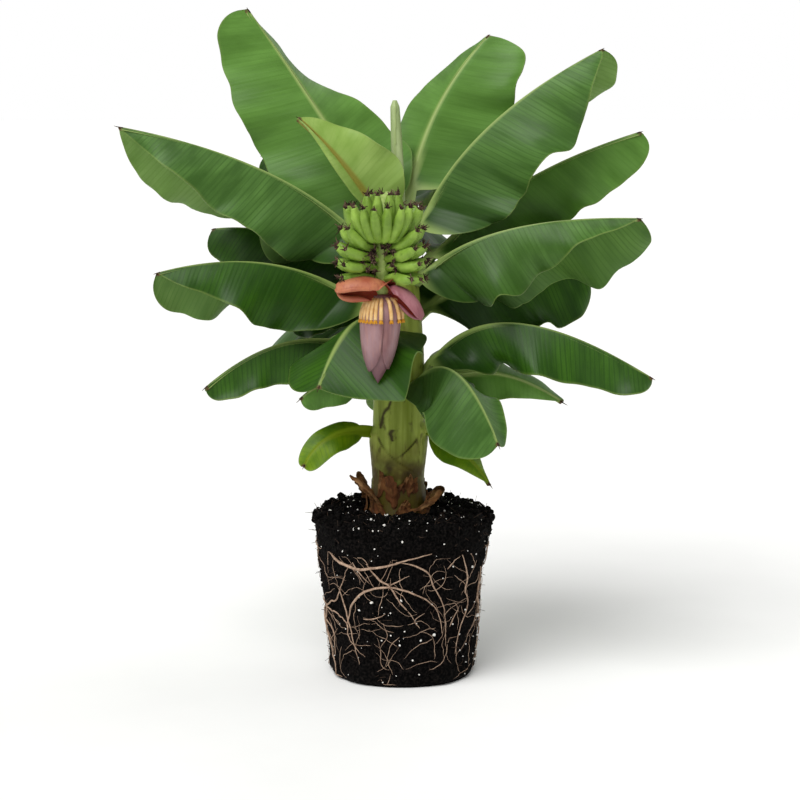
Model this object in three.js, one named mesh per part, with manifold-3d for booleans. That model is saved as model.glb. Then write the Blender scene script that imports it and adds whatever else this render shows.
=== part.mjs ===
// Banana starter plant on its bare root ball, in millimetres, +Z up.
// The origin is the middle of the root ball's flat underside. The fruit hangs on the -Y side, the front.
import * as THREE from "three";
import manifoldModule from "manifold-3d";

const manifoldTools = await manifoldModule();
manifoldTools.setup();
const { Manifold, Mesh: ManifoldMesh } = manifoldTools;

// Room left between a part and the one that carries it
const CLEARANCE = 0.35;

// Root ball: a pot-shaped block of soil
const BALL_HEIGHT = 165;
const BALL_FOOT_RADIUS = 73;
const BALL_RIM_RADIUS = 90;
const BALL_SIDES = 30;
const BALL_LEVELS = 6;
const BALL_FOOT_BEVEL = 4;
const BALL_FLARE = 1.6;
const BALL_CRUMBLE = 2.2;
// Waves that roughen the soil: [share, count round the ball, shift from one level to the next]
const CRUMBLE_WAVES = [
  [0.5, 5, 1.3],
  [0.3, 11, -2.1],
  [0.2, 13, 3.7],
];
const BALL_RIM_DROP = 5;
const BALL_TOP_RINGS = [
  [0.93, 1],
  [0.7, 2.5],
];
const BALL_SEAT_RADIUS = 42;

// Trunk: [height above the underside, radius], leaning slightly from its foot to its top
const TRUNK_SIDES = 14;
const TRUNK_FOOT = [-4, 0];
const TRUNK_TOP = [-1, 2];
const TRUNK_RINGS = [
  [BALL_HEIGHT + CLEARANCE, 31],
  [174, 28.5],
  [195, 26.5],
  [240, 26],
  [290, 26],
  [330, 24],
  [380, 19.5],
  [420, 16],
  [442, 12],
  [452, 6],
];

// Leaves: stations along the stalk and the blade, points across each half, and the sizes of the midrib
const STALK_STATIONS = 2;
const BLADE_STATIONS = 12;
const BRACT_STATIONS = 7;
const ACROSS = 2;
const ROOT_INSET = 4;
const FOLD_STARTS = 0.12;
const RIB_THINS_BY = 0.5;
// A leaf is thinner where it is narrow, and beside the midrib between steeply folded halves
const MITRE = 0.8;
const WIDEST_OPENING = 170;
const THIN_SHARE = 0.62;
const RIB_DEPTH_SHARES = [1.45, 0.8];
const LEAF_BUILD = { thickness: 3.4, stalkHalf: 5.5, ribHalf: 1.8, stalkDepth: 8, ribDepth: 4.2 };
const HUSK_BUILD = { thickness: 1.8, stalkHalf: 6, ribHalf: 1.2, stalkDepth: 2.4, ribDepth: 2 };

// Outline of a blade: where its rounded foot ends and a round tip begins, and how late each kind of tip
// narrows and how blunt it ends
const FOOT_SHARE = 0.26;
const ROUND_TIP_SHARE = 0.48;
const ROUND_TIP = { late: 2.4, blunt: 0.5 };
const STRAIGHT_TIP = { late: 1.25, blunt: 0.85 };
const ROUND_TIPS = [1, 1];

// The veins lean forward from the midrib, more towards the tip (degrees)
const VEIN_LEAN = 10;
const VEIN_LEAN_TIP = 36;

// One entry for each leaf.
// turn and height: where the stalk leaves the trunk (degrees from +X, mm). bend and tip: the two points
// that draw the midrib's arch. face: where the upper side looks. blade: share of the arch that is stalk.
// half: widest [left, right] half. fold: droop of each half in degrees, [at the foot, at the tip].
// wave: [degrees, count] of the rippled edge. phase: where the ripple starts on [left, right].
// taper: where each half starts to narrow straight to the tip, 1 for a round tip.
const LEAVES = {
  leaf_tall_left: {
    turn: 157, height: 436, bend: [-58, 44, 534], tip: [-154, 64, 664], face: [0.1, -1, 0.25], blade: 0.12,
    half: [75, 64], fold: [[5, 15], [-12, 95]], wave: [10, 2.5], phase: [0.2, 0.55], taper: [1, 0.22],
  },
  leaf_new: {
    turn: 212, height: 440, bend: [-60, -20, 524], tip: [-100, -20, 557], face: [0.1, -1, 0.3], blade: 0.1,
    half: [18, 52], fold: [[-40, -60], [-28, 40]], wave: [8, 2], phase: [0.5, 0.85], taper: [0.2, 0.05],
  },
  leaf_tall_right: {
    turn: 60, height: 440, bend: [9, 66, 558], tip: [88, 100, 639], face: [-0.1, -1, 0.25], blade: 0.2,
    half: [72, 72], fold: [[42, 62], [20, 0]], wave: [8, 1.5], phase: [0, 0.5], taper: [0.2, 1],
  },
  leaf_right_1: {
    turn: 350, height: 430, bend: [42, -5, 547], tip: [194, -10, 624], face: [0, -0.4, 1], blade: 0.08,
    half: [85, 80], fold: [[72, 70], [46, 40]], wave: [23, 2.5], phase: [0, 0.45], taper: [1, 0.6],
  },
  leaf_right_2: {
    turn: 15, height: 402, bend: [90, 30, 500], tip: [238, 40, 543], face: [0, -0.35, 1], blade: 0.1,
    half: [58, 62], fold: [[62, 62], [58, 62]], wave: [12, 2], phase: [0, 0.5],
  },
  leaf_right_3: {
    turn: 330, height: 396, bend: [66, -30, 466], tip: [230, -45, 462], face: [0, -0.35, 1], blade: 0.05,
    half: [100, 72], fold: [[78, 74], [68, 30]], wave: [22, 2.2], phase: [0.6, 0.1], taper: [1, 0.3],
  },
  leaf_right_4: {
    turn: 10, height: 360, bend: [88, 70, 426], tip: [190, 72, 396], face: [0, -0.35, 1], blade: 0.06,
    half: [40, 74], fold: [[-35, 62], [68, 50]], wave: [10, 2.5], phase: [0, 0.5],
  },
  leaf_right_5: {
    turn: 335, height: 300, bend: [72, -32, 415], tip: [243, -60, 308], face: [0, -0.35, 1], blade: 0.08,
    half: [30, 54], fold: [[55, 50], [55, 55]], wave: [26, 2.2], phase: [0.5, 0.54],
  },
  leaf_right_6: {
    turn: 15, height: 285, bend: [80, 18, 328], tip: [163, 30, 271], face: [0, -0.5, 1], blade: 0.25,
    half: [22, 30], fold: [[0, 0], [50, 50]], wave: [10, 2.5], phase: [0, 0.5], taper: [1, 0.3],
  },
  leaf_front_right: {
    turn: 300, height: 295, bend: [52, -60, 358], tip: [93, -85, 246], face: [0.3, -0.4, 1], blade: 0.03,
    half: [46, 70], fold: [[52, 25], [48, 40]], wave: [10, 2.5], phase: [0, 0.5],
  },
  leaf_low_right: {
    turn: 345, height: 250, bend: [52, -15, 247], tip: [88, -20, 195], face: [0.2, -0.7, 0.7], blade: 0.15,
    half: [24, 22], fold: [[20, 20], [20, 20]], wave: [8, 2], phase: [0, 0.5], taper: [0.35, 0.35],
  },
  leaf_low_left: {
    turn: 195, height: 245, bend: [-76, -20, 258], tip: [-98, -25, 214], face: [0, -0.8, 0.6], blade: 0.15,
    half: [20, 14], fold: [[0, 10], [0, 10]], wave: [5, 2], phase: [0, 0.5],
  },
  leaf_front: {
    turn: 242, height: 338, bend: [-43, -62, 408], tip: [-80, -95, 303], face: [-0.17, -0.19, 1], blade: 0.08,
    half: [96, 72], fold: [[22, 34], [80, -10]], wave: [8, 2], phase: [0, 0.5], taper: [0.66, 1],
  },
  leaf_left_5: {
    turn: 200, height: 300, bend: [-66, -12, 313], tip: [-101, -15, 281], face: [0, -0.5, 0.8], blade: 0.15,
    half: [28, 22], fold: [[50, 50], [40, 40]], wave: [8, 2], phase: [0, 0.5],
  },
  leaf_left_4: {
    turn: 183, height: 326, bend: [-110, -10, 368], tip: [-195, -20, 293], face: [0, -0.35, 1], blade: 0.1,
    half: [42, 42], fold: [[60, 60], [55, 55]], wave: [10, 2.5], phase: [0, 0.5],
  },
  leaf_left_3: {
    turn: 197, height: 362, bend: [-109, -25, 444], tip: [-238, -45, 409], face: [0, -0.35, 1], blade: 0.08,
    half: [64, 80], fold: [[62, 35], [60, 78]], wave: [8, 1.5], phase: [0.8, 0.2], taper: [0.45, 1],
  },
  leaf_left_2: {
    turn: 160, height: 388, bend: [-105, 47, 457], tip: [-193, 71, 444], face: [0, -0.35, 1], blade: 0.1,
    half: [50, 40], fold: [[50, 50], [50, 50]], wave: [10, 2.5], phase: [0, 0.5],
  },
  leaf_left_1: {
    turn: 183, height: 412, bend: [-90, -5, 515], tip: [-276, -10, 549], face: [0, -0.35, 1], blade: 0.08,
    half: [66, 92], fold: [[65, 40], [78, 78]], wave: [16, 2.2], phase: [0.1, 0.7], taper: [0.5, 0.68],
  },
  leaf_back_left_1: {
    turn: 128, height: 418, bend: [-50, 95, 509], tip: [-142, 118, 516], face: [0, -0.35, 1], blade: 0.2,
    half: [45, 45], fold: [[50, 50], [50, 50]], wave: [10, 2.5], phase: [0, 0.5],
  },
  leaf_left_inner: {
    turn: 160, height: 342, bend: [-60, 15, 400], tip: [-112, 22, 350], face: [0, -0.35, 1], blade: 0.2,
    half: [32, 32], fold: [[50, 50], [50, 50]], wave: [10, 2.5], phase: [0, 0.5],
  },
  leaf_back_left_2: {
    turn: 125, height: 380, bend: [-78, 122, 510], tip: [-155, 205, 450], face: [0, 0, 1], blade: 0.2,
    half: [60, 60], fold: [[40, 40], [40, 40]], wave: [10, 2.5], phase: [0, 0.5],
  },
  leaf_back_1: {
    turn: 90, height: 398, bend: [15, 120, 490], tip: [25, 225, 430], face: [0, 0, 1], blade: 0.2,
    half: [60, 60], fold: [[40, 40], [52, 40]], wave: [10, 2.5], phase: [0, 0.5],
  },
  leaf_back_right_1: {
    turn: 56, height: 418, bend: [48, 126, 564], tip: [146, 208, 522], face: [0, 0, 1], blade: 0.2,
    half: [60, 46], fold: [[40, 40], [40, 40]], wave: [10, 2.5], phase: [0, 0.5],
  },
  leaf_back_left_3: {
    turn: 130, height: 322, bend: [-80, 90, 390], tip: [-140, 170, 310], face: [0, 0, 1], blade: 0.2,
    half: [50, 50], fold: [[40, 40], [40, 40]], wave: [10, 2.5], phase: [0, 0.5],
  },
  leaf_back_right_2: {
    turn: 50, height: 362, bend: [54, 116, 446], tip: [140, 178, 368], face: [0, 0, 1], blade: 0.08,
    half: [50, 34], fold: [[40, 40], [40, 40]], wave: [10, 2.5], phase: [0, 0.5],
  },
  leaf_back_2: {
    turn: 95, height: 285, bend: [-10, 90, 340], tip: [-10, 170, 250], face: [0, 0, 1], blade: 0.2,
    half: [45, 45], fold: [[40, 40], [40, 40]], wave: [10, 2.5], phase: [0, 0.5],
  },
};

// Rolled youngest leaf: where its tip is, and [share of its height, radius]
const ROLLED_TIP = [-7, 5, 574];
const ROLLED_SIDES = 8;
const ROLLED_RADII = [
  [0, 5],
  [0.35, 6],
  [0.7, 5.6],
  [0.95, 4.6],
  [1, 2],
];

// Dry husks left by the oldest leaves at the foot of the trunk, by the same rule as the leaves
const HUSKS = {
  husk_left: {
    turn: 228, height: 172, bend: [-30, -36, 198], tip: [-51, -30, 206], face: [0.5, 0.3, 1], blade: 0.02,
    half: [8, 7], fold: [[20, 40], [20, 40]], wave: [14, 1.5], phase: [0, 0.4],
  },
  husk_front: {
    turn: 262, height: 170, bend: [-8, -36, 186], tip: [-15, -33, 205], face: [0, 1, 0.6], blade: 0.02,
    half: [9, 10], fold: [[-35, -50], [-35, -50]], wave: [10, 1.5], phase: [0.2, 0.6],
  },
  husk_right: {
    turn: 290, height: 170, bend: [19, -41, 174], tip: [37, -30, 191], face: [-0.5, 0.3, 1], blade: 0.02,
    half: [8, 9], fold: [[20, 40], [20, 40]], wave: [14, 1.5], phase: [0.3, 0.1],
  },
  husk_back_right: {
    turn: 40, height: 172, bend: [32, 26, 177], tip: [35, 34, 183], face: [-1, -1, 0.6], blade: 0.02,
    half: [11, 11], fold: [[20, 30], [20, 30]], wave: [10, 1.5], phase: [0, 0.5],
  },
  husk_back_left: {
    turn: 140, height: 172, bend: [-36, 26, 182], tip: [-42, 34, 198], face: [1, -1, 0.6], blade: 0.02,
    half: [11, 11], fold: [[20, 30], [20, 30]], wave: [10, 1.5], phase: [0, 0.5],
  },
};

// Fruit stalk: leaves the trunk's top, arches to the front and hangs straight down
const STALK_AXIS = [-19, -108];
const STALK_POINTS = [
  [-2, -7, 438],
  [-8, -46, 473],
  [-15, -88, 482],
  [-19, -107, 464],
  [-19, -108, 430],
  [-19, -108, 392],
];
const STALK_STEPS = 14;
const STALK_SIDES = 8;
const STALK_RADIUS = 5;

// Hands of fingers from the top down. height: of the fingers' feet. cushion: their feet's distance from
// the stalk's middle. from and to: the turns of the first and last finger. rise: slope of a finger.
const HANDS = [
  { height: 454, cushion: 9, from: 10, to: 340, count: 9, rise: 74, length: 34 },
  { height: 447, cushion: 17, from: -80, to: 260, count: 15, rise: 54, length: 34 },
  { height: 436, cushion: 18, from: -36, to: 215, count: 12, rise: 26, length: 27 },
  { height: 423, cushion: 19, from: -40, to: 214, count: 12, rise: 5, length: 24 },
  { height: 411, cushion: 18, from: -46, to: 204, count: 10, rise: -8, length: 22 },
];
const FINGER_SIDES = 5;
const FINGER_RADII = [2.4, 3.8, 4.7, 4.7, 4.1, 2.2];
const FINGER_DROP = 4;
const FINGER_CURVE = 8;

// Flower bud: [height, radius] from its shoulder down to its tip
const BUD_SIDES = 12;
const BUD_TIP = [-23, -109];
const BUD_RINGS = [
  [394, 8],
  [385, 14.5],
  [375, 18.4],
  [366, 18.2],
  [350, 16.6],
  [338, 14.2],
  [327, 10.6],
  [318, 6.4],
  [309, 1.2],
];

// The two lifted bracts over the bud, by the same rule as the leaves
const BRACTS = [
  {
    root: [-17, -108, 389], bend: [-36, -124, 414], tip: [-63, -130, 398], face: [0, -0.4, 1], blade: 0,
    half: [15, 17], fold: [[20, 25], [20, 25]], wave: [0, 1], phase: [0, 0],
  },
  {
    root: [-20, -109, 388], bend: [4, -124, 402], tip: [17, -128, 372], face: [0.4, -0.4, 1], blade: 0,
    half: [13, 15], fold: [[20, 25], [20, 25]], wave: [0, 1], phase: [0, 0],
  },
];

// Blossoms under the bracts: [height, distance from the stalk's middle, radius], and their turns
const BLOSSOM_RINGS = [
  [391, 6, 1.6],
  [388, 15, 1.8],
  [378, 19.5, 1.9],
  [371, 20.5, 1.4],
];
const BLOSSOM_TURNS = [192, 205, 217, 229, 241, 253, 268, 296, 322, 342];

// Colour and roughness of each material
const LOOKS = {
  soil: [0x241d18, 0.95],
  trunk: [0x8a9a4a, 0.6],
  leaf: [0x3f7a2a, 0.45],
  new_leaf: [0x9db36a, 0.5],
  husk: [0x7a5634, 0.85],
  fruit: [0x8fae3f, 0.5],
  bud: [0x8d5f68, 0.55],
};

const DEGREES = Math.PI / 180;

function vector(xyz) {
  return new THREE.Vector3(xyz[0], xyz[1], xyz[2]);
}

function clamp01(x) {
  return Math.min(1, Math.max(0, x));
}

function mix(a, b, share) {
  return a + (b - a) * share;
}

// Faces over the end of a ring, in strips between its first and its second half
function capFaces(count) {
  const faces = [];
  let low = 0;
  let high = count - 1;
  while (low + 1 < high) {
    faces.push([low, low + 1, high]);
    if (low + 1 < high - 1) {
      faces.push([low + 1, high - 1, high]);
    }
    low += 1;
    high -= 1;
  }
  return faces;
}

// A closed solid through a row of rings with the same number of points each
function loft(rings) {
  const count = rings[0].length;
  const points = rings.flat();
  const faces = [];
  for (let i = 0; i + 1 < rings.length; i += 1) {
    for (let j = 0; j < count; j += 1) {
      const a = i * count + j;
      const b = i * count + ((j + 1) % count);
      faces.push([a, b, b + count], [a, b + count, a + count]);
    }
  }
  const last = (rings.length - 1) * count;
  for (const [a, b, c] of capFaces(count)) {
    faces.push([a, c, b], [last + a, last + b, last + c]);
  }
  return { points, faces };
}

function toManifold(solid) {
  const mesh = new ManifoldMesh({
    numProp: 3,
    vertProperties: new Float32Array(solid.points.flatMap((p) => [p.x, p.y, p.z])),
    triVerts: new Uint32Array(solid.faces.flat()),
  });
  return new Manifold(mesh);
}

// The largest body of a cut or joined solid, as points and faces
function fromManifold(body) {
  const pieces = body.decompose().sort((a, b) => b.volume() - a.volume());
  const mesh = pieces[0].getMesh();
  const points = [];
  for (let i = 0; i < mesh.vertProperties.length; i += mesh.numProp) {
    points.push(vector(mesh.vertProperties.slice(i, i + 3)));
  }
  const faces = [];
  for (let i = 0; i < mesh.triVerts.length; i += 3) {
    faces.push(Array.from(mesh.triVerts.slice(i, i + 3)));
  }
  return { points, faces };
}

function meshOf(name, solid, material) {
  const geometry = new THREE.BufferGeometry();
  const positions = new Float32Array(solid.points.flatMap((p) => [p.x, p.y, p.z]));
  geometry.setAttribute("position", new THREE.BufferAttribute(positions, 3));
  geometry.setIndex(solid.faces.flat());
  geometry.computeVertexNormals();
  const mesh = new THREE.Mesh(geometry, material);
  mesh.name = name;
  return mesh;
}

function paint(look) {
  const [color, roughness] = LOOKS[look];
  const material = new THREE.MeshStandardMaterial({ color, roughness });
  material.name = look;
  return material;
}

function ring(sides, centre, radius) {
  const points = [];
  for (let i = 0; i < sides; i += 1) {
    const angle = (i / sides) * 2 * Math.PI;
    const offset = new THREE.Vector3(radius * Math.cos(angle), radius * Math.sin(angle), 0);
    points.push(offset.add(centre));
  }
  return points;
}

// Trunk

function trunkCentre(height) {
  const bottom = TRUNK_RINGS[0][0];
  const top = TRUNK_RINGS.at(-1)[0];
  const share = clamp01((height - bottom) / (top - bottom));
  return new THREE.Vector3(
    mix(TRUNK_FOOT[0], TRUNK_TOP[0], share),
    mix(TRUNK_FOOT[1], TRUNK_TOP[1], share),
    height,
  );
}

function trunkRadius(height) {
  for (let i = 0; i + 1 < TRUNK_RINGS.length; i += 1) {
    const [low, lowRadius] = TRUNK_RINGS[i];
    const [high, highRadius] = TRUNK_RINGS[i + 1];
    if (height <= high) {
      return mix(lowRadius, highRadius, clamp01((height - low) / (high - low)));
    }
  }
  return TRUNK_RINGS.at(-1)[1];
}

function trunkSolid(room) {
  const rings = TRUNK_RINGS.map(([height, radius], index) => {
    const isTop = index === TRUNK_RINGS.length - 1;
    const centre = trunkCentre(height);
    if (isTop) {
      centre.z += room;
    }
    return ring(TRUNK_SIDES, centre, radius + room);
  });
  return loft(rings);
}

// Leaves

function outlineShare(s, taper) {
  const foot = Math.sqrt(1 - (1 - Math.min(s / FOOT_SHARE, 1)) ** 2);
  const start = taper < 1 ? taper : ROUND_TIP_SHARE;
  const tip = taper < 1 ? STRAIGHT_TIP : ROUND_TIP;
  const beyond = clamp01((s - start) / (1 - start));
  return foot * (1 - beyond ** tip.late) ** tip.blunt;
}

// Point and frame of the midrib at share t of its arch
function midribFrame(leaf, t) {
  const root = leaf.root;
  const bend = vector(leaf.bend);
  const tip = vector(leaf.tip);
  const point = new THREE.Vector3()
    .addScaledVector(root, (1 - t) ** 2)
    .addScaledVector(bend, 2 * t * (1 - t))
    .addScaledVector(tip, t * t);
  const along = new THREE.Vector3()
    .addScaledVector(bend.clone().sub(root), 1 - t)
    .addScaledVector(tip.clone().sub(bend), t)
    .normalize();
  const face = vector(leaf.face);
  const normal = face.addScaledVector(along, -face.dot(along)).normalize();
  const side = new THREE.Vector3().crossVectors(along, normal);
  return { point, along, normal, side };
}

// Droop of one half at a station, at a share of its width (radians)
function droop(leaf, s, half, share) {
  const bladeShare = clamp01(s / FOLD_STARTS);
  const [foldFoot, foldTip] = leaf.fold[half];
  const [waveAngle, waveCount] = leaf.wave;
  const ripple = Math.sin(2 * Math.PI * (waveCount * s + leaf.phase[half])) * waveAngle;
  return (mix(foldFoot, foldTip, clamp01(s)) + ripple * share) * bladeShare * DEGREES;
}

function stalkHalf(leaf, s) {
  return mix(leaf.build.ribHalf, leaf.build.stalkHalf, clamp01(1 - s) ** 2);
}

// Points, upward directions and thicknesses of one half at a station, from beside the midrib out to the edge
function halfSection(leaf, frame, s, half, sign) {
  const taper = (leaf.taper ?? ROUND_TIPS)[half];
  const width = Math.max(stalkHalf(leaf, s), leaf.half[half] * outlineShare(clamp01(s), taper));
  const lean = mix(VEIN_LEAN, VEIN_LEAN_TIP, clamp01(s) ** 2) * clamp01(s / FOLD_STARTS) * DEGREES;
  const opening = Math.PI - droop(leaf, s, 0, 0.5) - droop(leaf, s, 1, 0.5);
  const room = MITRE * Math.tan(Math.min(opening, WIDEST_OPENING * DEGREES) / 2);
  const section = [];
  const point = frame.point.clone();
  for (let i = 0; i < ACROSS; i += 1) {
    const angle = droop(leaf, s, half, (i + 0.5) / ACROSS);
    const out = new THREE.Vector3()
      .addScaledVector(frame.side, sign * Math.cos(angle))
      .addScaledVector(frame.normal, -Math.sin(angle));
    const up = new THREE.Vector3()
      .addScaledVector(frame.side, sign * Math.sin(angle))
      .addScaledVector(frame.normal, Math.cos(angle));
    point.addScaledVector(out, (Math.cos(lean) * width) / ACROSS);
    point.addScaledVector(frame.along, (Math.sin(lean) * width) / ACROSS);
    const thickness = Math.min(leaf.build.thickness, THIN_SHARE * width, (room * width * (i + 1)) / ACROSS);
    section.push({ point: point.clone(), up, thickness });
  }
  return section;
}

// Closed ring of a leaf at share t of its arch: upper side from left edge to right, then the under side back
function leafRing(leaf, t) {
  const s = (t - leaf.blade) / (1 - leaf.blade);
  const frame = midribFrame(leaf, t);
  const fullDepth = mix(leaf.build.stalkDepth, leaf.build.ribDepth, clamp01(s / RIB_THINS_BY));
  const [shareAtFoot, shareAtTip] = RIB_DEPTH_SHARES;
  const depth = Math.min(fullDepth, mix(shareAtFoot, shareAtTip, clamp01(s)) * stalkHalf(leaf, s));
  const left = halfSection(leaf, frame, s, 0, -1).reverse();
  const right = halfSection(leaf, frame, s, 1, 1);
  const row = [...left, { point: frame.point, up: frame.normal, thickness: depth }, ...right];
  const upper = row.map((part) => part.point);
  const under = row.map((part) => part.point.clone().addScaledVector(part.up, -part.thickness));
  return [...upper, ...under.reverse()];
}

function leafSolid(entry, build) {
  const outward = trunkRadius(entry.height) - ROOT_INSET;
  const root = trunkCentre(entry.height);
  root.x += outward * Math.cos(entry.turn * DEGREES);
  root.y += outward * Math.sin(entry.turn * DEGREES);
  const leaf = { ...entry, root, build };
  const rings = [];
  for (let i = 0; i < STALK_STATIONS; i += 1) {
    rings.push(leafRing(leaf, (leaf.blade * i) / STALK_STATIONS));
  }
  for (let i = 0; i <= BLADE_STATIONS; i += 1) {
    rings.push(leafRing(leaf, mix(leaf.blade, 1, i / BLADE_STATIONS)));
  }
  return loft(rings);
}

// A leaf ends where its stalk comes to the trunk
function leafOnTrunk(entry, build) {
  const trunkWithRoom = toManifold(trunkSolid(CLEARANCE));
  return fromManifold(toManifold(leafSolid(entry, build)).subtract(trunkWithRoom));
}

// The youngest leaf is still a rolled spike on the trunk's top
function rolledLeafSolid() {
  const foot = trunkCentre(TRUNK_RINGS.at(-1)[0] + CLEARANCE);
  const tip = vector(ROLLED_TIP);
  return loft(
    ROLLED_RADII.map(([share, radius]) => ring(ROLLED_SIDES, foot.clone().lerp(tip, share), radius)),
  );
}

// Fruit stalk, its hands of fingers, and the flower bud below it

// Rings of a round rod along a row of points, with one radius for each point
function rodSolid(points, radii, sides) {
  const rings = points.map((point, i) => {
    const before = points[Math.max(i - 1, 0)];
    const after = points[Math.min(i + 1, points.length - 1)];
    const along = after.clone().sub(before).normalize();
    const turn = new THREE.Quaternion().setFromUnitVectors(new THREE.Vector3(0, 0, 1), along);
    return ring(sides, new THREE.Vector3(), radii[i]).map((p) => p.applyQuaternion(turn).add(point));
  });
  return loft(rings);
}

function stalkSolid(room) {
  const curve = new THREE.CatmullRomCurve3(STALK_POINTS.map(vector));
  const points = curve.getPoints(STALK_STEPS);
  points.at(-1).z -= room;
  return rodSolid(points, points.map(() => STALK_RADIUS + room), STALK_SIDES);
}

// A finger leaves the stalk, thickens, and curves upward to its tip
function fingerSolid(hand, turn) {
  const flat = new THREE.Vector3(Math.cos(turn * DEGREES), Math.sin(turn * DEGREES), 0);
  const start = new THREE.Vector3(STALK_AXIS[0], STALK_AXIS[1], hand.height - FINGER_DROP);
  const points = [start, start.clone().addScaledVector(flat, hand.cushion).setZ(hand.height)];
  const step = hand.length / (FINGER_RADII.length - 2);
  for (let i = 0; i + 2 < FINGER_RADII.length; i += 1) {
    const rise = (hand.rise + FINGER_CURVE * (i - 1)) * DEGREES;
    const next = points.at(-1).clone().addScaledVector(flat, step * Math.cos(rise));
    next.z += step * Math.sin(rise);
    points.push(next);
  }
  return rodSolid(points, FINGER_RADII, FINGER_SIDES);
}

function fruitSolid() {
  const bodies = [toManifold(stalkSolid(0))];
  for (const hand of HANDS) {
    for (let i = 0; i < hand.count; i += 1) {
      const turn = hand.from + ((hand.to - hand.from) * i) / (hand.count - 1);
      bodies.push(toManifold(fingerSolid(hand, turn)));
    }
  }
  const trunkWithRoom = toManifold(trunkSolid(CLEARANCE));
  return fromManifold(Manifold.union(bodies).subtract(trunkWithRoom));
}

function bractSolid(bract) {
  const leaf = { ...bract, root: vector(bract.root), build: HUSK_BUILD };
  const rings = [];
  for (let i = 0; i <= BRACT_STATIONS; i += 1) {
    rings.push(leafRing(leaf, mix(leaf.blade, 1, i / BRACT_STATIONS)));
  }
  return loft(rings);
}

function blossomSolid(turn) {
  const points = BLOSSOM_RINGS.map(([height, reach]) => {
    const x = STALK_AXIS[0] + reach * Math.cos(turn * DEGREES);
    const y = STALK_AXIS[1] + reach * Math.sin(turn * DEGREES);
    return new THREE.Vector3(x, y, height);
  });
  return rodSolid(points, BLOSSOM_RINGS.map((row) => row[2]), FINGER_SIDES);
}

function budSolid() {
  const axis = BUD_RINGS.map(([height]) => {
    const share = (BUD_RINGS[0][0] - height) / (BUD_RINGS[0][0] - BUD_RINGS.at(-1)[0]);
    const x = mix(STALK_AXIS[0], BUD_TIP[0], share);
    const y = mix(STALK_AXIS[1], BUD_TIP[1], share);
    return new THREE.Vector3(x, y, height);
  });
  const bodies = [toManifold(rodSolid(axis, BUD_RINGS.map((row) => row[1]), BUD_SIDES))];
  for (const bract of BRACTS) {
    bodies.push(toManifold(bractSolid(bract)));
  }
  for (const turn of BLOSSOM_TURNS) {
    bodies.push(toManifold(blossomSolid(turn)));
  }
  const stalkWithRoom = toManifold(stalkSolid(CLEARANCE));
  return fromManifold(Manifold.union(bodies).subtract(stalkWithRoom));
}

// Root ball

function crumble(angle, level) {
  let sum = 0;
  for (const [share, count, shift] of CRUMBLE_WAVES) {
    sum += share * Math.sin(count * angle + shift * level);
  }
  return BALL_CRUMBLE * sum;
}

function soilRing(height, radius, level) {
  return ring(BALL_SIDES, new THREE.Vector3(0, 0, height), radius).map((point, i) => {
    const angle = (i / BALL_SIDES) * 2 * Math.PI;
    const grow = (radius + crumble(angle, level)) / radius;
    return new THREE.Vector3(point.x * grow, point.y * grow, point.z);
  });
}

function rootBallSolid() {
  const rings = [ring(BALL_SIDES, new THREE.Vector3(), BALL_FOOT_RADIUS - BALL_FOOT_BEVEL)];
  for (let level = 0; level <= BALL_LEVELS; level += 1) {
    const share = level / BALL_LEVELS;
    const height = mix(BALL_FOOT_BEVEL, BALL_HEIGHT - BALL_RIM_DROP, share);
    rings.push(soilRing(height, mix(BALL_FOOT_RADIUS, BALL_RIM_RADIUS, share ** BALL_FLARE), level));
  }
  BALL_TOP_RINGS.forEach(([share, rise], i) => {
    rings.push(soilRing(BALL_HEIGHT + rise, BALL_RIM_RADIUS * share, BALL_LEVELS + i));
  });
  rings.push(ring(BALL_SIDES, new THREE.Vector3(0, 0, BALL_HEIGHT), BALL_SEAT_RADIUS));
  return loft(rings);
}

const plant = new THREE.Group();
plant.name = "banana_starter_plant";
plant.add(meshOf("root_ball", rootBallSolid(), paint("soil")));
plant.add(meshOf("trunk", trunkSolid(0), paint("trunk")));
for (const [name, entry] of Object.entries(LEAVES)) {
  plant.add(meshOf(name, leafOnTrunk(entry, LEAF_BUILD), paint("leaf")));
}
plant.add(meshOf("leaf_rolled", rolledLeafSolid(), paint("new_leaf")));
for (const [name, entry] of Object.entries(HUSKS)) {
  plant.add(meshOf(name, leafOnTrunk(entry, HUSK_BUILD), paint("husk")));
}
plant.add(meshOf("fruit_stalk", fruitSolid(), paint("fruit")));
plant.add(meshOf("flower_bud", budSolid(), paint("bud")));

export default plant;
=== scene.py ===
# Looks of the banana starter plant: fine leaves, bark, fruit, flower and soil in place of the plain solids.
# Sizes are in millimetres until a mesh is made. +Z is up, and the fruit hangs on the -Y side, the front.
# A pair for noise, such as TEAR_STRAY or BARK_KNOBS, is [how far, how fast it changes along the form].
import math

import bmesh
import bpy
import numpy as np
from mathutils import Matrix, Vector, noise


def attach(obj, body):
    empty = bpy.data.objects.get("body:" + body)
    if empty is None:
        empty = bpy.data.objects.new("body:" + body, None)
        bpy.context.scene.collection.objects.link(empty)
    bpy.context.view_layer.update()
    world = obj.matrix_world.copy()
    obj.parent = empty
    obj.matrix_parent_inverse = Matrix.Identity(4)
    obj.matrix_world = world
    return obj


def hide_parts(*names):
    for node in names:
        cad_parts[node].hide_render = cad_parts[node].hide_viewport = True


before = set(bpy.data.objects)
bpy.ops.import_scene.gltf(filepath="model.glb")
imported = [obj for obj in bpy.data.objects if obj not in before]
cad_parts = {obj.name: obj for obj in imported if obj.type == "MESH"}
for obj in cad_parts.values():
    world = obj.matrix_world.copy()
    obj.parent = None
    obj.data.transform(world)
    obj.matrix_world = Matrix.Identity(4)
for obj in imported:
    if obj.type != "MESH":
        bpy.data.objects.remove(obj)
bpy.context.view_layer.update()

MM = 0.001
SEED = 11
UP = np.array((0, 0, 1.0))
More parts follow.
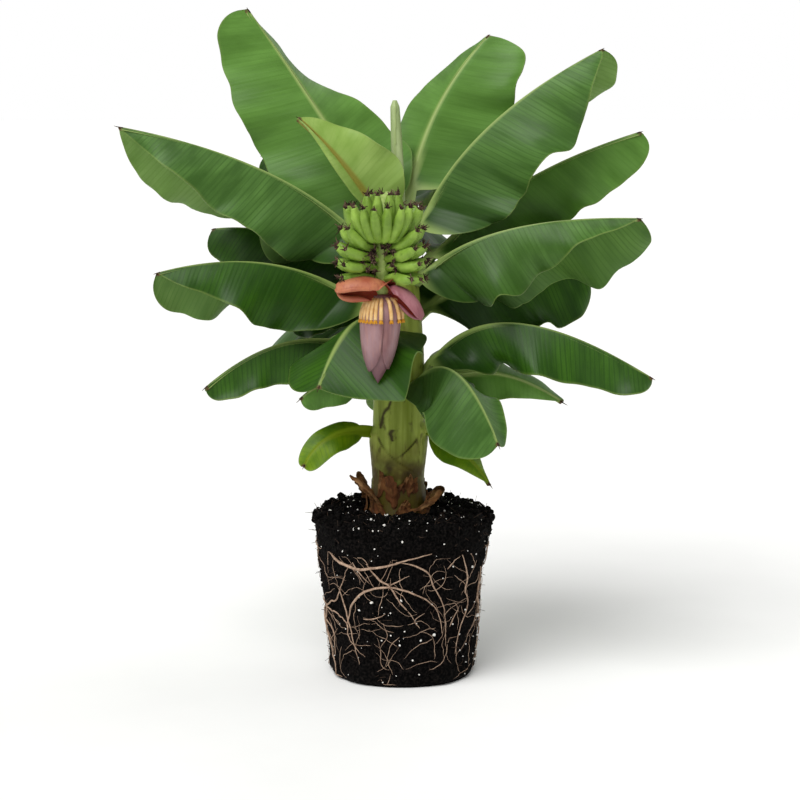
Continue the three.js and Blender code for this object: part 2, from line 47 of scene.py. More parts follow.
# A shader's noise mostly lies between these
NOISE_LOW = 0.3
NOISE_HIGH = 0.7
# Where a row of noise is cut out of the noise in space
ROW_LAYER = 0.37
# A rod this upright is built from +X, not from +Z
UPRIGHT = 0.9

# Camera and light: places in metres, the lens and its sensor in millimetres
CAMERA_PLACE = (-0.002, -2.177, 0.5946)
CAMERA_PITCH = 81.7
CAMERA_LENS = 99
CAMERA_SENSOR = 36
FLOOR_RADIUS = 30
FLOOR_SIDES = 96
SKY_LIGHT = 0.42
# Broad soft lights from far away: [where it stands, strength, spread in degrees]
LIGHTS = [
    [(-0.45, -0.7, 1.1), 2.5, 45],
    [(0.5, 0.7, 0.9), 0.5, 70],
]

# Root ball: a pot-shaped block of soil, as in the solids
BALL_HEIGHT = 165
BALL_FOOT_RADIUS = 73
BALL_RIM_RADIUS = 90
BALL_FOOT_BEVEL = 4
BALL_FLARE = 1.6
BALL_CRUMBLE = 2.2
BALL_LEVELS = 6
BALL_RIM_DROP = 5
BALL_TOP_RINGS = [(0.93, 1), (0.7, 2.5)]
BALL_SEAT_RADIUS = 42
CRUMBLE_WAVES = [(0.5, 5, 1.3), (0.3, 11, -2.1), (0.2, 13, 3.7)]
# How fine the soil block is, and the radius of its innermost rings
BALL_COLUMNS = 300
BALL_ROW_GAP = 1.8
BALL_UNDER_ROWS = 12
BALL_MIDDLE = 4
BALL_TOP_INSET = 1
# Relief of the soil: layers of [height, scale, octaves]
SIDE_RELIEF = [(1.0, 0.06, 2), (1.3, 0.3, 3)]
TOP_RELIEF = [(4.5, 0.04, 2), (2.0, 0.22, 3)]
# Where the side, the top and the rim turn from smooth to rough, as [start, distance] up or outwards
SIDE_ROUGH_FROM = (0, 12)
TOP_ROUGH_FROM = (30, 24)
RIM_CRUMBLES_FROM = (60, 30)
# Places picked on the top, as shares of the rim's area, and the lowest ones on the side
TOP_SPOTS = (0.16, 1.02)
LOWEST_SPOT = 6

# Clods lie on the top, small crumbs on the side, and further clods along the rim and round the trunk
CLOD_COUNT = 450
CLOD_SIZES = (1.2, 4.2)
CRUMB_COUNT = 320
CRUMB_SIZES = (0.7, 1.7)
CLOD_LIFT = 0.6
RIM_CLOD_COUNT = 210
RIM_CLOD_SIZES = (1.8, 4.6)
RIM_CLOD_HEIGHTS = (-7, 3)
RIM_CLOD_DEPTHS = (-3, 0)
FOOT_CLOD_COUNT = 110
FOOT_CLOD_SIZES = (1.2, 3.2)
FOOT_CLOD_REACH = (33, 42)
# A lump is stretched by chance and made uneven by [share, scale] of noise
LUMP_FINENESS = 2
LUMP_STRETCH = (0.65, 1.25)
LUMP_UNEVEN = (0.3, 1.3)
LUMP_SHIFT = 50
# White bits: a few are larger, by up to [size, power of chance]
PERLITE_COUNT = 330
PERLITE_SIZES = (0.35, 0.8)
PERLITE_LARGER = (1.2, 5)
PERLITE_ON_TOP = 0.45
PERLITE_LIFT = 1.6

# Roots on the side of the ball: thickness as [share of the length, share of its radius]
ROOT_TAPER = [(0, 0.45), (0.2, 1), (0.5, 0.85), (1, 0.3)]
ROOT_SIDES = 7
# A root lies on the highest soil within so many points of it, lifted by [mm, share of its radius]
ROOT_SPAN = 2
ROOT_LIFT = (0.8, 0.5)
ROOT_WOBBLE = (0.6, 0.12)
ROOT_WOBBLE_SHIFTS = (0, 40, 80)
ROOT_KNOBS = (0.2, 0.4)
# Stray roots keep between these heights
ROOTS_ABOVE = 4
ROOTS_BELOW = 132
# Roots that show on the front: [radius at its thick end, (turn in degrees, height) points]
FRONT_ROOT_STEPS = 6
FRONT_ROOTS = [
    [1.5, [(215, 132), (226, 125), (238, 121), (250, 123), (262, 127), (274, 132), (289, 138)]],
    [1.2, [(226, 60), (232, 82), (244, 98), (258, 104), (272, 101), (284, 93), (295, 80), (301, 55)]],
    [1.0, [(246, 127), (254, 113), (262, 104), (268, 90), (274, 80), (279, 70)]],
    [0.9, [(266, 130), (279, 126), (288, 117), (293, 102), (299, 88), (303, 68), (305, 40)]],
    [0.9, [(312, 133), (318, 112), (319, 96), (324, 80), (316, 48), (314, 30)]],
    [0.7, [(236, 127), (242, 116), (248, 108)]],
    [0.8, [(219, 96), (224, 76), (229, 60), (232, 40), (236, 22)]],
    [0.7, [(241, 70), (247, 70), (254, 73), (258, 77)]],
    [0.6, [(262, 106), (269, 112), (275, 116)]],
    [0.6, [(301, 121), (306, 127), (311, 132)]],
    [0.6, [(283, 62), (279, 70), (286, 77)]],
    [0.6, [(308, 60), (312, 70), (316, 80)]],
]
# Roots that stray by chance: thick ones round the sides and back, and fine hairs all round
STRAY_ROOTS = [
    dict(count=18, turns=(-25, 205), heights=(20, 140), length=110, radii=(0.6, 1.2)),
    dict(count=170, turns=(0, 360), heights=(8, 124), length=44, radii=(0.2, 0.36)),
]
STRAY_ROOT_STEPS = 2
STRAY_STEP = 4
STRAY_BEND = 0.28
STRAY_HEADINGS = (0, 6.28)

# Thin curled threads: how far back they start, their lengths, how much they bend, radius from foot to tip
SOIL_FIBRE = dict(back=1, lengths=(3, 8), bend=0.05, radii=(0.35, 0.15), rows=6, sides=4)
TIP_THREAD = dict(back=3, lengths=(2, 6), bend=0.016, radii=(0.8, 0.25), rows=9, sides=6)
FLOWER_THREAD = dict(back=0, lengths=(2.5, 5.5), bend=0.06, radii=(0.8, 0.3), rows=6, sides=5)
THREAD_STRAY = 0.7
THREAD_LOWEST = 1
FIBRE_COUNT = 420
FIBRE_ON_TOP = 0.5
FIBRE_OUTWARD = 0.6
TIP_THREAD_DROP = 1

# Trunk: [height above the underside, radius], leaning slightly from its foot to its top
TRUNK_FOOT = (-4, 0)
TRUNK_TOP = (-1, 2)
TRUNK_RINGS = [
    (160, 32), (165.35, 31), (174, 28.5), (195, 26.5), (240, 26), (290, 26), (330, 24), (380, 19.5),
    (420, 16), (442, 12), (452, 6),
]
TRUNK_COLUMNS = 180
TRUNK_ROW_GAP = 1.5
TRUNK_SMOOTH_TOP = 40
BARK_KNOBS = (0.5, 0.09)
# Sheaths of the leaves that leave the trunk below a height, and how far each stands out over the next
SHEATH_TOP = 260
SHEATH_STEP = 1.2
SHEATH_LAP = 3
# How far round a sheath reaches on each side: [degrees at its stalk, degrees in full, distance down to there]
SHEATH_REACH = (24, 178, 70)
# Keel below a stalk: [how far it stands out, half width in degrees, distance over which it starts]
SHEATH_KEEL = (4.5, 24, 8)
# The keel and the tone of a sheath fade over this distance below its stalk
SHEATH_FADE = 60
# Lightness of the bare trunk, of a sheath by the age and painted light of its leaf, and how long a sheath
# keeps it
BARE_TONE = 0.3
SHEATH_TONES = {"lit": 0.5, "mid": 0.35, "shaded": 0.15, "yellow": 0.75}
SHEATH_TONE_HOLD = 1.3
# A sheath's dried margin shows this far below its stalk; its width is in degrees
MARGIN_REACH = 40
MARGIN_STARTS = 6
MARGIN_ENDS = 16
MARGIN_WIDTH = 2.2
# The margin, the painted shade round the scraps and the brown foot of the trunk are patchy: [share
# everywhere, strength, scale]
MARGIN_PATCHES = (0.6, 1.2, 0.05)
SHADE_PATCHES = (0.5, 1, 0.09)
FOOT_PATCHES = (0.8, 1, 0.07)
# The trunk's foot turns brown downwards from a height, over a distance, and all over from a lower one
FOOT_BROWN = (246, -42)
FOOT_BROWN_FULL = (200, -20)
# Dry tears in the sheaths, as (turn in degrees, height) points
TEARS = [
    [(268, 306), (266, 290), (250, 278), (238, 268), (230, 260), (223, 250)],
    [(256, 251), (252, 246), (254, 239)],
    [(60, 300), (66, 280), (70, 262)],
    [(150, 280), (144, 262), (146, 246)],
]
TEAR_STRAY = (5, 0.12)
TEAR_WIDTH = 5
TEAR_RAGGED = (3.5, 0.2)
TEAR_LANES = (90, 95)

# Scraps of old sheath round the trunk's foot:
# [middle turn, half width in degrees, lowest and top height, lean in degrees]
COLLARS = [
    (247, 27, 185, 205, -4), (287, 29, 187, 203, 6), (272, 14, 164, 182, 12), (236, 18, 164, 188, -18),
    (322, 18, 164, 186, 16), (30, 26, 164, 192, 10), (100, 30, 164, 200, -10), (168, 26, 164, 192, 12),
]
COLLAR_COLUMNS = 46
COLLAR_ROWS = 22
COLLAR_THICKNESS = 0.7
# Faces this near the rim have the lighter material
COLLAR_RIM = 7
# Least height, how round its top is, how ragged its rim is, and how it narrows and leans upwards
COLLAR_LEAST = 4
COLLAR_POINT = 2.6
COLLAR_RAGGED = (0.3, 0.16)
COLLAR_NARROWS = 0.25
COLLAR_LEAN = 1.5
# A scrap that hangs above the soil has a torn lower edge, and painted shade darkens the bark round its top
COLLAR_TEAR = (7, 0.13)
COLLAR_TEAR_LANE = 30
SHADE_REACH = 15
# Distance of the first scrap from the bark, and how much further out the next one lies
COLLAR_OUT = (1.0, 0.25)
COLLAR_CURL = 5
COLLAR_CRUMPLE = (1.4, 0.16)

# Leaves: how fine they are, and the sizes of the stalk and midrib
LEAF_GAP = 1.4
LEAF_ACROSS = 13
ARCH_STEPS = 400
ROOT_INSET = 4
FOLD_STARTS = 0.12
RIB_THINS_BY = 0.5
LEAF_BUILD = dict(thickness=0.9, stalk_half=6.5, rib_half=2.1, stalk_depth=8, rib_depth=3.6)
HUSK_BUILD = dict(thickness=0.8, stalk_half=6, rib_half=1.2, stalk_depth=2.4, rib_depth=1.2)
BRACT_BUILD = dict(thickness=1.3, stalk_half=6, rib_half=1.2, stalk_depth=2.4, rib_depth=1.6)
# The midrib is thick over this share of its half width, with a groove of [depth, share of its half width]
RIB_THICK = 0.7
RIB_GROOVE = (0.8, 0.6)
FOOT_SHARE = 0.26
# Tip of a half: a round one begins at a share of its length, and each kind has its own [lateness, bluntness]
ROUND_TIP_SHARE = 0.48
ROUND_TIP = (2.4, 0.5)
STRAIGHT_TIP = (1.25, 0.85)
# The veins lean forward by these degrees at the foot and at the tip
VEIN_LEAN = 10
VEIN_LEAN_TIP = 36
# A blade leaves its midrib flatter and hangs more steeply at its edge
LEAF_BOW = 0.12
# Relief of a blade: vein ridges of [height, length] and wider swells, full this far from the midrib
VEIN_RIDGE = (0.05, 4.6)
VEIN_STRAY = (2, 0.04)
VEIN_SWELL = (0.45, 1 / 22)
RELIEF_FULL = 14
EDGE_CURL = (48, 1 / 62)
EDGE_STRAY = (0.1, 1 / 50)
# Paint of a blade: where its midrib's colour ends, its pale margin, its dried tip and the painted shade
# towards its foot
RIB_CORE = 0.55
LEAF_MARGIN = 0.8
LEAF_MARGIN_SOFT = 1.4
DRY_TIP = 3
DRY_TIP_SOFT = 1.3
SHADE_FOOT_SHARE = 0.6
# Shares of the blade over which relief, midrib colour and margin begin
RELIEF_STARTS = 0.1
RIB_STARTS = 0.06
LEAF_MARGIN_STARTS = 0.05
# Each leaf has a lane of noise, with further lanes for its right half, curl and swells,
# and its veins start this far from those of the leaf before
RIGHT_LANE = 3
CURL_LANE = 7
SWELL_LANE = 20
VEIN_LANE_GAP = 731

# What a leaf has unless its own entry says otherwise
LEAF_HABIT = dict(
    face=(0, -0.35, 1), blade=0.2, fold=((40, 40), (40, 40)), wave=(10, 2.5), phase=(0, 0.5), taper=(1, 1),
    curl=1)
# One entry for each leaf, as in the solids, with the age and painted light that give its colour: lighter and
# darker copies of the mid green stand for painted light and shade.
# turn and height: where the stalk leaves the trunk (degrees from +X, mm). bend and tip: the two points
# that draw the midrib's arch. face: where the upper side looks. blade: share of the arch that is stalk.
# half: widest [left, right] half. fold: droop of each half in degrees, [at the foot, at the tip].
# wave: [degrees, count] of the rippled edge. phase: where the ripple starts on [left, right].
# taper: where each half starts to narrow straight to its tip, 1 for a round tip. curl: share of edge curl.
LEAVES = {
    "leaf_tall_left": dict(
        age_and_light="lit", turn=157, height=436, bend=(-58, 44, 534), tip=(-154, 64, 664), face=(0.1, -1, 0.25),
        blade=0.12, half=(75, 64), fold=((5, 15), (-12, 95)), phase=(0.2, 0.55), taper=(1, 0.22), curl=0.4),
    "leaf_new": dict(
        age_and_light="new", turn=212, height=440, bend=(-60, -20, 524), tip=(-100, -20, 557), face=(0.1, -1, 0.3),
        blade=0.1, half=(18, 52), fold=((-40, -60), (-28, 40)), wave=(8, 2), phase=(0.5, 0.85),
        taper=(0.2, 0.05)),
    "leaf_tall_right": dict(
        age_and_light="lit", turn=60, height=440, bend=(9, 66, 558), tip=(88, 100, 639), face=(-0.1, -1, 0.25),
        half=(72, 72), fold=((42, 62), (20, 0)), wave=(8, 1.5), taper=(0.2, 1)),
    "leaf_right_1": dict(
        age_and_light="mid", turn=350, height=430, bend=(42, -5, 547), tip=(194, -10, 624), face=(0, -0.4, 1),
        blade=0.08, half=(85, 80), fold=((72, 70), (46, 40)), wave=(23, 2.5), phase=(0, 0.45),
        taper=(1, 0.6)),
    "leaf_right_2": dict(
        age_and_light="lit", turn=15, height=402, bend=(90, 30, 500), tip=(238, 40, 543), blade=0.1,
        half=(58, 62), fold=((62, 62), (58, 62)), wave=(12, 2)),
    "leaf_right_3": dict(
        age_and_light="late", turn=330, height=396, bend=(66, -30, 466), tip=(230, -45, 462), blade=0.05,
        half=(100, 72), fold=((78, 74), (68, 30)), wave=(22, 2.2), phase=(0.6, 0.1), taper=(1, 0.3)),
    "leaf_right_4": dict(
        age_and_light="shaded", turn=10, height=360, bend=(88, 70, 426), tip=(190, 72, 396), blade=0.06,
        half=(40, 74), fold=((-35, 62), (68, 50))),
    "leaf_right_5": dict(
        age_and_light="shaded", turn=335, height=300, bend=(72, -32, 415), tip=(243, -60, 308), blade=0.08,
        half=(30, 54), fold=((55, 50), (55, 55)), wave=(26, 2.2), phase=(0.5, 0.54)),
    "leaf_right_6": dict(
        age_and_light="lit", turn=15, height=285, bend=(80, 18, 328), tip=(163, 30, 271), face=(0, -0.5, 1),
        blade=0.25, half=(22, 30), fold=((0, 0), (50, 50)), taper=(1, 0.3)),
    "leaf_front_right": dict(
        age_and_light="mid", turn=300, height=295, bend=(52, -60, 358), tip=(93, -85, 246), face=(0.3, -0.4, 1),
        blade=0.03, half=(46, 70), fold=((52, 25), (48, 40))),
    "leaf_low_right": dict(
        age_and_light="yellow", turn=345, height=250, bend=(52, -15, 247), tip=(88, -20, 195), face=(0.2, -0.7, 0.7),
        blade=0.15, half=(24, 22), fold=((20, 20), (20, 20)), wave=(8, 2), taper=(0.35, 0.35)),
    "leaf_low_left": dict(
        age_and_light="yellow", turn=195, height=245, bend=(-76, -20, 258), tip=(-98, -25, 214), face=(0, -0.8, 0.6),
        blade=0.15, half=(20, 14), fold=((0, 10), (0, 10)), wave=(5, 2)),
    "leaf_front": dict(
        age_and_light="shaded", turn=242, height=338, bend=(-43, -62, 408), tip=(-80, -95, 303), face=(-0.17, -0.19, 1),
        blade=0.08, half=(96, 72), fold=((22, 34), (80, -10)), wave=(8, 2), taper=(0.66, 1), curl=0.3),
    "leaf_left_5": dict(
        age_and_light="lit", turn=200, height=300, bend=(-66, -12, 313), tip=(-101, -15, 281), face=(0, -0.5, 0.8),
        blade=0.15, half=(28, 22), fold=((50, 50), (40, 40)), wave=(8, 2)),
    "leaf_left_4": dict(
        age_and_light="shaded", turn=183, height=326, bend=(-110, -10, 368), tip=(-195, -20, 293), blade=0.1,
        half=(42, 42), fold=((60, 60), (55, 55))),
    "leaf_left_3": dict(
        age_and_light="shaded", turn=197, height=362, bend=(-109, -25, 444), tip=(-238, -45, 409), blade=0.08,
        half=(64, 80), fold=((62, 35), (60, 78)), wave=(8, 1.5), phase=(0.8, 0.2), taper=(0.45, 1)),
    "leaf_left_2": dict(
        age_and_light="shaded", turn=160, height=388, bend=(-105, 47, 457), tip=(-193, 71, 444), blade=0.1,
        half=(50, 40), fold=((50, 50), (50, 50))),
    "leaf_left_1": dict(
        age_and_light="mid", turn=183, height=412, bend=(-90, -5, 515), tip=(-276, -10, 549), blade=0.08,
        half=(66, 92), fold=((65, 40), (78, 78)), wave=(16, 2.2), phase=(0.1, 0.7), taper=(0.5, 0.68)),
    "leaf_back_left_1": dict(
        age_and_light="shaded", turn=128, height=418, bend=(-50, 95, 509), tip=(-142, 118, 516),
        half=(45, 45), fold=((50, 50), (50, 50))),
    "leaf_left_inner": dict(
        age_and_light="shaded", turn=160, height=342, bend=(-60, 15, 400), tip=(-112, 22, 350),
        half=(32, 32), fold=((50, 50), (50, 50))),
    "leaf_back_left_2": dict(
        age_and_light="mid", turn=125, height=380, bend=(-78, 122, 510), tip=(-155, 205, 450), face=(0, 0, 1),
        half=(60, 60)),
    "leaf_back_1": dict(
        age_and_light="mid", turn=90, height=398, bend=(15, 120, 490), tip=(25, 225, 430), face=(0, 0, 1),
        half=(60, 60), fold=((40, 40), (52, 40))),
    "leaf_back_right_1": dict(
        age_and_light="lit", turn=56, height=418, bend=(48, 126, 564), tip=(146, 208, 522), face=(0, 0, 1),
        half=(60, 46)),
    "leaf_back_left_3": dict(
        age_and_light="mid", turn=130, height=322, bend=(-80, 90, 390), tip=(-140, 170, 310), face=(0, 0, 1),
        half=(50, 50)),
    "leaf_back_right_2": dict(
        age_and_light="mid", turn=50, height=362, bend=(54, 116, 446), tip=(140, 178, 368), face=(0, 0, 1), blade=0.08,
        half=(50, 34)),
    "leaf_back_2": dict(
        age_and_light="mid", turn=95, height=285, bend=(-10, 90, 340), tip=(-10, 170, 250), face=(0, 0, 1),
        half=(45, 45)),
}

# Rolled youngest leaf: where its tip is, [share of its height, radius], and how far its roll laps
ROLLED_TIP = (-7, 5, 574)
ROLLED_FOOT_HEIGHT = 448
ROLLED_RADII = [(0, 5), (0.35, 6), (0.7, 5.6), (0.95, 4.6), (1, 2)]
ROLLED_LAP = 0.22
ROLLED_ROWS = 90
ROLLED_COLUMNS = 40
# Turn of its free edge at the foot, and how far it winds round up to the tip
ROLLED_SEAM = (215, 70)
# Its veins run up it: [share of the height, distance round]; the edge is one part in so many of the way round
ROLLED_VEINS = (0.4, 40)
ROLLED_EDGE = 12

# Dry husks left by the oldest leaves at the foot of the trunk, by the same rule as the leaves
HUSK_HABIT = dict(
    blade=0.02, half=(11, 11), fold=((20, 30), (20, 30)), wave=(10, 1.5), phase=(0, 0.5), taper=(1, 1),
    curl=1)
HUSKS = {
    "husk_left": dict(
        turn=228, height=172, bend=(-30, -36, 198), tip=(-51, -30, 206), face=(0.5, 0.3, 1),
        half=(8, 7), fold=((20, 40), (20, 40)), wave=(14, 1.5), phase=(0, 0.4)),
    "husk_front": dict(
        turn=262, height=170, bend=(-8, -36, 186), tip=(-15, -33, 205), face=(0, 1, 0.6),
        half=(9, 10), fold=((-35, -50), (-35, -50)), phase=(0.2, 0.6)),
    "husk_right": dict(
        turn=290, height=170, bend=(19, -41, 174), tip=(37, -30, 191), face=(-0.5, 0.3, 1),
        half=(8, 9), fold=((20, 40), (20, 40)), wave=(14, 1.5), phase=(0.3, 0.1)),
    "husk_back_right": dict(turn=40, height=172, bend=(32, 26, 177), tip=(35, 34, 183), face=(-1, -1, 0.6)),
    "husk_back_left": dict(turn=140, height=172, bend=(-36, 26, 182), tip=(-42, 34, 198), face=(1, -1, 0.6)),
}
HUSK_GAP = 0.9
HUSK_CRUMPLE = (1.4, 0.14)
HUSK_RAGGED = (0.3, 0.22)
HUSK_LANE = 40

# Fruit stalk and its hands of fingers, fuller than in the solids
STALK_AXIS = (-19, -108)
STALK_POINTS = [
    (-2, -7, 438), (-8, -46, 473), (-15, -88, 482), (-19, -107, 464), (-19, -108, 430), (-19, -108, 392),
]
STALK_RADIUS = 6.4
STALK_KNOBS = (0.12, 0.13)
STALK_STEPS = 14
STALK_SIDES = 20
HANDS = [
    dict(height=454, cushion=9, start=10, end=340, count=9, rise=74, length=34),
    dict(height=447, cushion=17, start=-80, end=260, count=18, rise=54, length=34),
    dict(height=439, cushion=18, start=-34, end=214, count=12, rise=34, length=27),
    dict(height=430, cushion=19, start=-40, end=216, count=13, rise=18, length=25),
    dict(height=421, cushion=19, start=-38, end=212, count=12, rise=4, length=24),
    dict(height=411, cushion=18, start=-46, end=204, count=13, rise=-8, length=22),
]
FINGER_RADII = [2.6, 4.2, 5.3, 5.3, 4.7, 2.5]
FINGER_STEPS = 5
FINGER_SIDES = 15
# A finger has angled sides: how many, and how far they stand out
FINGER_ANGLES = 5
FINGER_EDGE = 0.09
FINGER_DROP = 4
FINGER_CURVE = 8
# Fingers stray by these degrees to the side and upwards
FINGER_STRAY_TURN = 3
FINGER_STRAY_RISE = 4
# Dried flowers: a lump with threads, one at each finger's end and some in tufts between the hands
FLOWER_LUMP = 2.0
FLOWER_THREADS = 12
DRY_TUFTS = [
    (-17, -119, 440), (-12, -120, 434), (-26, -121, 437), (-36, -122, 426), (-31, -122, 418),
    (-26, -121, 427), (-40, -118, 432), (-8, -121, 424),
]
TUFT_FLOWERS = 3
TUFT_SPREAD = 2
TUFT_SLOPE = np.array((0, -1.0, 0.2))

# Flower bud: [height, radius] from its shoulder down to its tip
BUD_TIP = (-23, -109)
BUD_RINGS = [
    (394, 8), (385, 14.5), (375, 18.4), (366, 18.2), (350, 16.6), (338, 14.2), (327, 10.6), (318, 6.4),
    (309, 1.2),
]
BUD_STEPS = 12
BUD_ROWS = 60
BUD_COLUMNS = 48
# The core lies this far inside the wrapped bracts
BUD_SINK = 0.9
# Heights in metres between which the bud's skin darkens to its tip
BUD_TIP_FADE = (0.345, 0.312)
# Bracts wrapped round the bud: [middle turn, half width in degrees, height of its tip, lift off the bud]
BUD_WRAPS = [(90, 105, 326, 0.2), (8, 90, 322, 0.8), (180, 99, 320, 1.5)]
WRAP_COLUMNS = 40
WRAP_THICKNESS = 0.8
WRAP_DROP = 1
# A wrap keeps its width almost to its tip; its edges lie closer and its tip further out by [mm, power]
WRAP_TIP_POWER = 9
WRAP_EDGE = (0.8, 6)
WRAP_TIP_LIFT = (0.5, 3)
# Ribs of a wrap: [height, radians for each degree]
WRAP_RIBS = (0.16, 0.9)
# The two lifted bracts over the bud, by the same rule as the leaves; lips: radii of the lower and upper edge
BRACT_HABIT = dict(blade=0, wave=(0, 1), phase=(0, 0), taper=(1, 1), curl=0)
BRACTS = [
    dict(root=(-10, -110, 396), bend=(-36, -108, 414), tip=(-61, -116, 402), face=(0.1, -1, -0.2),
         half=(22, 30), fold=((-45, -45), (-95, -95)), lips=(3.0, 2.0)),
    dict(root=(-17, -110, 395), bend=(5, -110, 406), tip=(19, -118, 374), face=(-0.2, -1, -0.2),
         half=(27, 15), fold=((-90, -90), (-40, -40)), lips=(1.4, 1.0)),
]
BRACT_BOW = 0.65
BRACT_GAP = 0.8
BRACT_LANE = 60
LIP_STARTS = 0.22
LIP_ROUND = 0.6
LIP_LEAST = 0.3
LIP_SIDES = 12
# Blossoms under the bracts: [height, distance from the stalk's middle, radius], and their turns
BLOSSOM_RINGS = [(391, 6, 1.6), (388, 15, 1.8), (378, 19.5, 1.9), (371, 20.5, 1.7)]
BLOSSOM_TURNS = [192, 205, 217, 229, 241, 253, 268, 296, 322, 342]
BLOSSOM_STEPS = 6
BLOSSOM_SIDES = 10
# Teeth at a blossom's end: how many, how far they lean out, where they start and end, radii
TOOTH_COUNT = 4
TOOTH_LEAN = 0.5
TOOTH_REACH = (-1, 4)
TOOTH_RADII = (1.2, 1.3, 1.2, 1.0, 0.5)
TOOTH_SIDES = 6

# Blade by age and painted light: [dark and light of its upper side and of its under side, midrib, strength of
# its vein lines]; under sides are paler, partly painted light shining through
LEAF_TONES = {
    # The mid green made lighter: painted light
    "lit": ["#4b7328", "#608c3a", "#6f9440", "#86a858", "#9db068", 0.35],
    "mid": ["#385a20", "#567d38", "#64883c", "#7a9c52", "#96aa62", 0.9],
    # The mid green with a darker under side: painted shade
    "late": ["#36571c", "#527834", "#3f6420", "#547a30", "#96aa62", 0.9],
    # The mid green made darker: painted shade
    "shaded": ["#1f4006", "#335a10", "#547834", "#6a8c46", "#8ca056", 1.0],
    "new": ["#80a046", "#9ab660", "#7c9550", "#93a868", "#8a7f2f", 0.4],
    "rolled": ["#8ea268", "#aebd88", "#8ea268", "#aebd88", "#b9c490", 0.3],
    "yellow": ["#4a6e00", "#729000", "#5c7c10", "#789220", "#768a16", 0.6],
}
# Painted shade: a blade darkens to this towards its foot, inside the crown
LEAF_SHADE_TONE = "#16300a"
LEAF_MARGIN_TONE = "#869a4e"
LEAF_DRY_TONE = "#5a3f26"
# Roughness of the upper and the under side
LEAF_UPPER_ROUGH = 0.4
LEAF_UNDER_ROUGH = 0.55
# How fast wide bands, fine lines and dark veins change: [along the midrib, across the half]
BAND_SPEEDS = (0.05, 0.8)
LINE_SPEEDS = (0.5, 0.9)
VEIN_SPEEDS = (1.0, 9.0)

random = np.random.default_rng(SEED)


# Numbers and vectors

def mix(a, b, share):
    return a + (b - a) * share


def clamp01(x):
    return np.clip(x, 0, 1)


def ease(x):
    x = clamp01(x)
    return x * x * (3 - 2 * x)


def bell(x, width):
    return np.exp(-(x / width) ** 2)


def unit(vectors):
    return vectors / np.maximum(np.linalg.norm(vectors, axis=-1, keepdims=True), 1e-9)


def rough(points, scale, octaves=3):
    """Smooth noise, about -1 to 1, at each point."""
    points = np.asarray(points, float)
    flat = (points * scale).reshape(-1, 3)
    values = [noise.fractal(Vector(p), 1.0, 2.0, octaves) for p in flat]
    return np.array(values).reshape(points.shape[:-1])


def stray(values, size, lane):
    """Smooth noise along one line of numbers, of a size [how far, how fast]; each lane has its own."""
    values = np.asarray(values, float)
    far, fast = size
    points = np.stack((values * fast, np.full_like(values, lane), np.full_like(values, ROW_LAYER)), axis=-1)
    return far * rough(points, 1.0, 2)


def uneven(points, size, octaves=3):
    """Smooth noise at each point, of a size [how far, how fast]."""
    far, fast = size
    return far * rough(points, fast, octaves)


def layered(points, layers):
    """Sum of layers of noise, each [height, scale, octaves]."""
    return sum(height * rough(points, scale, octaves) for height, scale, octaves in layers)


def patchy(points, patches, more=0):
    """Noise held between 0 and 1, from patches of [share everywhere, strength, scale] and a further share."""
    base, strength, scale = patches
    return clamp01(base + strength * rough(points, scale) + more)


def ramp(values, span):
    """Eases from 0 to 1 over a span of [start, distance]; a distance below 0 runs downwards."""
    start, distance = span
    return ease((values - start) / distance)


def leaning(foot, top, share, heights):
    """Points at the heights on a line that leans from one level place to another."""
    x = mix(foot[0], top[0], share)
    y = mix(foot[1], top[1], share)
    return np.stack((x, y, np.broadcast_to(heights, np.shape(x))), axis=-1)


def smooth_path(points, steps):
    """A smooth path through the points, with so many steps between each two."""
    points = np.asarray(points, float)
    padded = np.vstack((2 * points[:1] - points[1:2], points, 2 * points[-1:] - points[-2:-1]))
    t = np.linspace(0, 1, steps, endpoint=False)[:, None]
    parts = []
    for a, b, c, d in zip(padded, padded[1:], padded[2:], padded[3:]):
        bend = (2 * a - 5 * b + 4 * c - d) * t**2 + (3 * b - a - 3 * c + d) * t**3
        parts.append(0.5 * (2 * b + (c - a) * t + bend))
    return np.vstack(parts + [points[-1:]])


def spread_over(values, count):
    """Values at even shares of a length, read at so many places along it."""
    return np.interp(np.linspace(0, 1, count), np.linspace(0, 1, len(values)), values)


def turned(turn):
    """The level direction at a turn in degrees from +X."""
    angle = np.radians(turn)
    return np.stack((np.cos(angle), np.sin(angle), np.zeros_like(angle)), axis=-1)


def turn_between(turns, middle):
    """Degrees from a middle turn, from -180 to 180."""
    return (np.asarray(turns) - middle + 180) % 360 - 180


def round_turns(count):
    """A row of even turns all the way round."""
    return np.linspace(0, 360, count, endpoint=False)[None, :]


# Meshes

class Pile:
    """Small forms gathered into one mesh."""

    def __init__(self):
        self.vertices = []
        self.faces = []
        self.face_materials = []
        self.count = 0

    def add(self, vertices, faces, material=0):
        self.vertices.append(np.asarray(vertices, float).reshape(-1, 3))
        self.faces += [[index + self.count for index in face] for face in faces]
        self.face_materials += [material] * len(faces)
        self.count += len(self.vertices[-1])

    def add_dealt(self, vertices, faces, materials):
        """Adds a form whose faces have a material each."""
        self.add(vertices, faces)
        self.face_materials[-len(faces):] = materials

    def piece(self, name, materials):
        return make_piece(name, np.vstack(self.vertices), self.faces, materials, self.face_materials)


def add_object(name, data):
    made = bpy.data.objects.new(name, data)
    bpy.context.scene.collection.objects.link(made)
    return made


